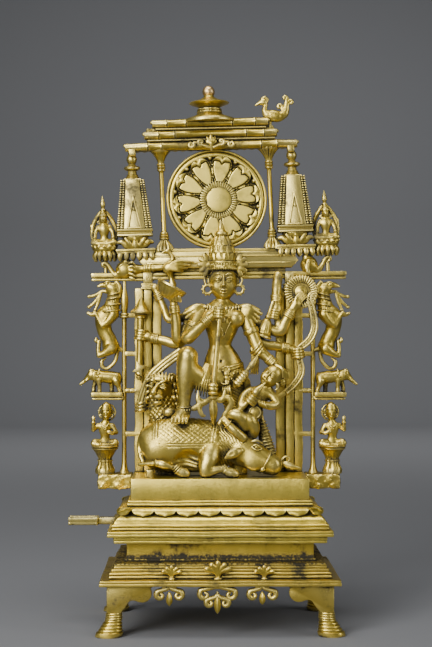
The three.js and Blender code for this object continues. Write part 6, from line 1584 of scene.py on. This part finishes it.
# Goddess's head and crown: ears with looped chains and rings, a rosette of petals at each side of the
# brow, and a tall leafed crown that tapers to a ringed point.
FACE_X, CROWN_X, CROWN_Y = 3.9, 3.6, -6
pour_group(face().placed(FACE_X, -6, 192.2, 1.08), "goddess_face")


def crown_leaves(x, y, z):
    """Three rows of pointed leaves with a rib, laid one over the other."""
    turn, relief = np.arctan2(y - CROWN_Y, x - CROWN_X), -0.45
    for low, high, shift in ((213.6, 223.6, 0), (221.4, 231.4, 0.5), (229, 239, 0)):
        rise = np.clip((z - low) / (high - low), 0, 1)
        off = np.abs((turn * 10 / (2 * math.pi) + 0.5 + shift) % 1 - 0.5) * 2
        inside = 0.96 * np.sqrt(1 - rise**1.6) - off
        ribs = np.exp(-(off / 0.14)**2) + np.exp(-((off - 0.5 + 0.3 * rise) / 0.12)**2)
        leaf = 1.1 * np.clip(inside / 0.3, -0.5, 1) - 0.35 * ribs
        relief = np.where((inside > 0) & (z > low) & (z < high), leaf - 0.45, relief)
    return relief


def beside(s, x, y, z):
    return (FACE_X + s * x, y, z)


crown = Wax((-26, -26, 172), (35, 14, 257), 0.48)
for s in (-1, 1):
    crown.press(limb([beside(s, 12.6, -4.6, 199), beside(s, 14.4, -5, 196), beside(s, 14.6, -5.6, 194),
                      beside(s, 14.6, -6, 189.4)], [1.4, 2.0, 1.6, 1.3]), 0.7)
    crown.press(limb([beside(s, 12.4, -6.4, 203), beside(s, 17.4, -7, 198), beside(s, 18.6, -7.6, 194),
                      beside(s, 17.2, -7.8, 189)], [1.2, 1.4, 1.3, 1.1]), 0.3)
    crown.press(hoop(beside(s, 15.6, -7.6, 185.0), 4.3, 1.5, (90, 0, 0)), 0.3)
    for n in range(10):
        a = math.radians(36 * n)
        crown.press(egg(beside(s, 15.6 + 5.9 * math.cos(a), -8.0, 185.0 + 5.9 * math.sin(a)),
                        (0.85, 0.85, 0.85)), 0.15)
    for n in range(5):
        a = math.radians(-62 + 31 * n)
        petal = [(CROWN_X + s * (12.6 + r * math.cos(a)), -8.4 - 0.6 * (r == 6), 209.6 + r * math.sin(a))
                 for r in (1.5, 6, 10.8)]
        crown.press(limb(petal, [1.2, 2.3, 2.5], 0.7), 0.15)
    crown.press(egg((CROWN_X + 14 * s, -9.6, 209.6), (2.4, 1.6, 2.4)), 0.3)
for n in range(15):
    a = math.radians(-160 + 10 * n)
    crown.press(egg((FACE_X + 13.4 * math.cos(a), -5.8 + 13.0 * math.sin(a), 205.6), (1.2, 1.2, 1.5)), 0.2)
crown.press(turned((CROWN_X, CROWN_Y, 0), [(12.4, 205.6), (13.6, 206.6), (13.9, 208.2), (13.1, 209.2), (13.1, 210.2),
        (14.0, 211.0), (14.0, 212.6), (13.2, 213.4), (13.5, 217), (13.1, 222), (12.0, 227), (10.3, 232), (8.2, 236),
        (6.2, 238.8), (6.9, 239.8), (6.7, 242.0), (5.0, 243.2), (3.7, 245), (3.0, 248.6), (1.7, 252.4),
        (0.5, 255)]), 0.3)
for n in range(30):
    a = math.radians(12 * n)
    crown.press(egg((CROWN_X + 13.4 * math.cos(a), CROWN_Y + 13.4 * math.sin(a), 209.7), (0.9, 0.9, 0.9)), 0.2)
crown.score((-14, -24, 213.4), (22, 13, 238.6), crown_leaves)
leaning = crown.cast(0.2).moved(lambda p: p - np.outer(0.045 * np.clip(p[:, 2] - 205, 0, None), [1, 0, 0]))
pour_group(leaning, "goddess_crown")

# Goddess's arms: eight are seen, each with armbands, bangles and a closed or open hand that was cast
# round its weapon.


def arm(wax, joints, radii, hand=None, upper=True):
    """An arm from shoulder, elbow and wrist, with bangles, and an armband on the upper half."""
    shoulder, elbow, wrist = (np.array(p, float) for p in joints)
    swell = np.array((0, 0.5, 0))
    wax.press(limb([shoulder, shoulder * 0.45 + elbow * 0.55 + swell, elbow, elbow * 0.5 + wrist * 0.5, wrist],
                   [radii[0], (radii[0] + radii[1]) / 2 + 0.2, radii[1], (radii[1] + radii[2]) / 2 + 0.3,
                    radii[2]], 1, 7), 1)
    if hand:
        wax.press(limb([wrist, hand], [radii[2], radii[2] * 1.1], 0.8), 0.8)
    reach = (wrist - elbow) / np.linalg.norm(wrist - elbow)
    lean = (0, math.degrees(math.atan2(reach[0], reach[2])), 0)
    for n in range(4):
        wax.press(hoop(wrist - reach * (0.2 + 1.9 * n), radii[2] + 0.55 + 0.14 * n, 0.9, lean), 0.2)
    if upper:
        reach = (elbow - shoulder) / np.linalg.norm(elbow - shoulder)
        lean = (0, math.degrees(math.atan2(reach[0], reach[2])), 0)
        band = shoulder * 0.5 + elbow * 0.5
        for n in (-1, 0, 1):
            wax.press(hoop(band + reach * 1.7 * n, (radii[0] + radii[1]) / 2 + 0.5,
                           0.8 + 0.25 * (n == 0), lean), 0.25)
        wax.press(egg(band + (0, -(radii[0] + radii[1]) / 2 - 0.6, 0.6), (2.2, 1.1, 2.6)), 0.3)


def fingers(wax, root, tip, step, bend, thick=1.4):
    """Four straight or bent fingers side by side."""
    root, tip, step, bend = (np.array(v, float) for v in (root, tip, step, bend))
    for n in range(4):
        wax.press(limb([root + n * step * 0.9, (root + tip) / 2 + n * step + bend, tip + n * step],
                       [thick * 1.1, thick, thick * 0.75]), 0.2)


arms_left = Wax((-92, -42, 118), (14, 24, 198), 0.5)
arm(arms_left, [(-18.4, -5, 162), (-31.4, -17, 136.4), (-11, -27, 155)], [7.6, 6.4, 4.0], (-6, -29, 158.6))
grip(arms_left, (0.4, -31, 161.6), (0.06, 0, 1), 6.0, 2.4, (-1, 0, -0.5))
arm(arms_left, [(-18, 0, 162), (-41, -8, 136), (-45, -12, 168)], [6.6, 5.8, 3.8], (-46, -12, 176))
fingers(arms_left, (-49, -16, 175), (-53, -16.4, 184), (3.6, -0.4, -0.6), (0, -1.5, 0), 1.7)
arm(arms_left, [(-18, 3, 160), (-50.3, 2, 155), (-62, 11, 181)], [4.8, 4, 3], (-65, 12, 187), False)
arms_left.press(egg((-65, 12, 188), (4, 3.4, 3.6)), 0.8)
arm(arms_left, [(-18, 2, 158), (-41, -4, 131), (-68, 4, 136.6)], [6.4, 5.4, 3.9], (-74, 7, 139), False)
grip(arms_left, (-79.4, 9, 140), (0.16, 0, 1), 6.0, 3.7, (1, 0, 0))
cast_group(arms_left, "goddess_arms_left")

arms_right = Wax((14, -28, 96), (94, 24, 206), 0.5)
arm(arms_right, [(24, -4, 162), (39, -12, 125), (53, -15, 111.6)], [7.4, 5.8, 4.0], (57.4, -16, 107))
fingers(arms_right, (56, -19, 109.4), (62.4, -21, 98), (1.7, 1.7, -1.2), (2.6, -2.0, 2.2), 1.5)
for n in range(3):
    arms_right.press(hoop((36 + 1.6 * n, -11.6, 128 - 2.6 * n), 7.6 - 0.5 * n, 1.3, (10, -52, 0)), 0.25)
for n in range(4):
    arms_right.press(limb([(32 + 1.6 * n, -13, 127), (33 + 1.7 * n, -13.6, 116), (31.4 + 2.2 * n, -10, 101)],
                          [1.3, 1.5, 0.9]), 0.2)
arm(arms_right, [(22, 2, 158), (43, -1, 131), (70, 6, 126)], [6.4, 5.2, 3.9], (74.6, 8, 125), False)
grip(arms_right, (80.8, 9, 121.6), (-0.14, 0, 1), 6.2, 3.4, (-1, 0, 0.2))
arm(arms_right, [(22, 6, 156), (60.5, 4, 143), (72.6, 4, 163)], [5.4, 5.6, 4.6], (77.4, 4, 171), False)
fingers(arms_right, (76, 2, 172), (84, 5.6, 183), (1.6, 0.4, -1.5), (-1.6, -1.6, 1.0), 1.5)
arm(arms_right, [(60, 12.6, 200), (58.6, 11, 190), (57.4, 5, 173.6)], [4.6, 5.0, 4.3], (58, 2, 165.6), False)
arms_right.press(limb([(60.5, 4, 143), (59, 6, 156), (58, 4, 163)], [4.6, 3.6, 3.4]), 1)
grip(arms_right, (54.6, 1.4, 161), (0.24, 0, 1), 5.4, 2.0, (1, 0, 0.1))
cast_group(arms_right, "goddess_arms_right")

# Weapons: trident, bowl, mace, bow, discus, bell and dagger, each cast on to the hand that holds it,
# and a long sash of three strips that hangs from the arm on the left.
weapons = Casting()
SPEAR_Y = -31


def tilted_lathe(profile, place, lean, sides=32, flutes=0, depth=0.0, fluted=(0, 0)):
    """A turned piece that leans by degrees to the right."""
    piece = Casting()
    lathe(piece, (0, 0, 0), profile, sides, flutes, depth, fluted)
    return turned_by(piece, (0, lean, 0), place)


rod(weapons, [(0.6, SPEAR_Y, 168), (-2.6, SPEAR_Y, 130), (-5.8, SPEAR_Y, 93)], [2.3, 2.5, 2.6], 14)
weapons.add(tilted_lathe([(2.4, 76), (4.6, 77.4), (4.8, 79), (3.3, 80), (5.0, 81), (5.4, 82.8), (4.3, 84), (4.8, 85),
                          (5.4, 86.8), (4.5, 88.4), (5.0, 89.4), (4.7, 91), (2.7, 92.6)], (-6.6, SPEAR_Y, 0), 0, 28))
trident = Wax((-36, -37, 46), (16, -22, 92), 0.45)
for flat, radii, path in (
        (0.55, (2.4, 4.2, 3.1, 0.5), ((-6.6, 0, 78), (-6.4, 0.6, 68), (-6.0, 3, 58), (-5.8, 6, 49.4))),
        (0.9, (0.7, 0.9, 0.4), ((-6.6, -1.6, 76), (-6.2, -0.6, 62), (-5.8, 4, 51))),
        (0.6, (2.4, 2.8, 3.2, 2.5, 0.6), ((-6.6, 0, 80), (-13, 0, 74.4), (-18.4, 0, 72.6), (-21.4, 0, 77),
                                          (-21.2, 0, 84.6))),
        (0.6, (2.2, 3.1, 2.7, 0.5), ((-18, 0, 75), (-20.6, 0, 70.4), (-25, 0, 67.6), (-31, 0, 66.2))),
        (0.6, (1.8, 2.3, 2.0, 0.9), ((-16.6, 0, 73), (-19.8, -0.6, 67), (-17.4, -1, 61), (-14.6, 0, 60.4))),
        (0.6, (2.4, 2.8, 2.8, 0.6), ((-6.6, 0, 80), (-0.6, 0, 75.6), (3.4, 0, 77.6), (4.8, 0, 85.2))),
        (0.6, (2.0, 3.0, 3.2, 3.0, 2.6, 0.8),
         ((1.6, 0, 76.4), (8.0, 0, 78), (11.4, 0, 73), (8.6, 1, 66.4), (4, 2.4, 58.4), (2, 4, 50)))):
    trident.press(limb([(x, SPEAR_Y + y, z) for x, y, z in path], radii, flat), 0.4)
weapons.add(trident.cast(0.08))
weapons.add(tilted_lathe([(2.6, -12.4), (5.6, -11.8), (9.0, -9.6), (12.0, -6.2), (14.4, -2.4), (15.0, -0.6),
                          (15.8, 0), (15.8, 1.5), (15.0, 2.0), (13.6, 1.2), (11.4, -1), (8, -3), (2, -4)],
                         (-47.4, -12, 187.0), 28, 64, 20, 0.055, (-12, -0.8)))
weapons.add(tilted_lathe([(2.2, -63), (3.6, -60), (2.4, -58.4), (4.3, -57), (4.3, -55), (3.5, -53), (3.4, -40),
                          (3.5, -6), (3.6, -1), (5.6, 0), (5.2, 1.4), (6.2, 2.4), (5.6, 3.8), (10.4, 4.6),
                          (10.6, 6.2), (7.2, 9.0), (5.0, 12.6), (3.2, 16.4), (1.6, 19.4), (0.4, 21.6)], (-79, 9, 157),
                         1.5, 32, 10, 0.03, (4, 8)))
star = [(7.4 * math.cos(a) * (1 if n % 2 == 0 else 0.45), 9 * math.sin(a) * (1 if n % 2 == 0 else 0.45))
        for n, a in enumerate(np.radians(22 + 45 * np.arange(8)))]
plate(weapons, [(-80.5 + x, 105.6 + z) for x, z in star], 4.6, 11.4, 0.9)
weapons.add(tilted_lathe([(8.4, -2), (9.2, -1), (8.8, 0.4), (7.9, 1.2), (8.4, 2.4), (7.4, 3.4), (7.0, 6), (6.2, 10),
                          (5.0, 14), (4.0, 16.4), (2.6, 17.4), (3.4, 18.6), (3.4, 20), (2.2, 21), (2.0, 26),
                          (1.8, 36)], (43.6, 0, 139), 17, 48, 12, 0.06, (3, 16)))
weapons.add(tilted_lathe([(0.4, -10), (2.2, -8), (1.8, -4), (0.8, 2)], (43.6, 0, 139.0), 10, 12))
bow = [(98.6, 9, 177), (96.0, 9, 180.8), (92.4, 9, 180.6), (91.4, 9, 174), (93.4, 9, 168), (95.6, 9, 158),
       (96.6, 9, 148), (94.4, 9, 139.6), (90, 9, 133), (82.6, 9, 127), (79.8, 9, 122), (81.4, 9, 113), (83.2, 9, 104),
       (80.6, 9, 96), (74, 9, 88), (66, 8, 81), (55.8, 6, 75)]
bow_width = [1.2, 1.7, 2.0, 2.6, 3.2, 3.7, 3.9, 3.9, 3.8, 3.4, 3.2, 3.4, 3.7, 3.8, 3.4, 2.8, 1.2]
rod(weapons, bow, bow_width, 12, 0.5, 5)
path, widths = smooth_path(bow, bow_width, 5)
along = np.gradient(path, axis=0)
side = np.column_stack([along[:, 2], 0 * along[:, 0], -along[:, 0]])
side /= np.linalg.norm(side, axis=1)[:, None]
for s in (-1, 1):
    rod(weapons, path[8:-4:3] + s * 0.62 * widths[8:-4:3, None] * side[8:-4:3] - [0, 1.3, 0], 1.35, 8, 0.9, 2)
for p in path[10:-6:2]:
    rod(weapons, [p - [0, 1.4, 0.01], p - [0, 2.5, 0]], [1.0, 0.6], 8, 1, 1, (1, 0, 0))
discus = Casting()
lathe(discus, (0, 0, 0), [(15.6, -1.8), (16.7, -0.9), (16.7, 0.9), (15.6, 1.9), (14.0, 1.6), (10.4, 1.0), (9.8, 0.2),
                          (6.8, 0.2), (6.2, 1.6), (4.8, 2.0), (3.4, 2.4), (1.6, 3.2)], 64)
for n in range(34):
    c, s = math.cos(math.pi * n / 17), math.sin(math.pi * n / 17)
    rod(discus, [(10.0 * c, 10.0 * s, 0.9), (13 * c, 13 * s, 1.7), (16.2 * c, 16.2 * s, 1.3)], [0.7, 0.95, 1.0], 8,
        1, 2, (0, 0, 1))
weapons.add(discus.moved(lambda p: np.column_stack([p[:, 0] + 83.1, 9 - p[:, 2], p[:, 1] + 183.3])))
rod(weapons, [(37.8, -20, 119.5), (34.4, -21, 113.4), (31.6, -21.4, 109.6), (29.6, -21.6, 108)],
    [0.6, 2.4, 3.0, 2.0], 10, 0.6)
rod(weapons, [(30, -21.4, 108.4), (26.6, -21.8, 103.6), (25, -22, 101), (18, -22.4, 92)], [1.9, 1.9, 3.4, 3.4], 12)
for share in np.linspace(0.05, 0.95, 5):
    x, z = 25.4 - 8.6 * share, 101.4 - 10.6 * share
    rod(weapons, [(x + 0.7, -21.8, z + 0.8), (x, -22, z), (x - 0.7, -21.8, z - 0.8)], [3.8, 4.6, 3.8], 14, 1, 3)
sash = [(-38, -3, 122.6), (-46, -1, 117), (-54, 1, 111), (-61, 2, 105), (-67, 3, 99), (-71.6, 4.6, 91),
        (-74.6, 6, 83), (-77.6, 7.6, 73), (-79, 9, 62)]
sash, width = smooth_path([(x, y - 5, z) for x, y, z in sash], [2.3] * 8 + [1.6], 5)
along = np.gradient(sash, axis=0)
side = np.column_stack([-along[:, 2], 0 * along[:, 0], along[:, 0]]) / np.linalg.norm(along, axis=1)[:, None]
for s in (-1, 0, 1):
    rod(weapons, (sash + 3.0 * s * side - [0, 0.6 * (s == 0), 0])[::3], 2.1, 10, 0.8, 2)
for z in (63, 66.4, 69.8):
    rod(weapons, [(-84, 6.4, z), (-79, 0.4, z + 1.2), (-72, 5.0, z + 2.8)], [1.4, 1.7, 1.4], 8, 1, 3)
pour_group(weapons, "weapons")
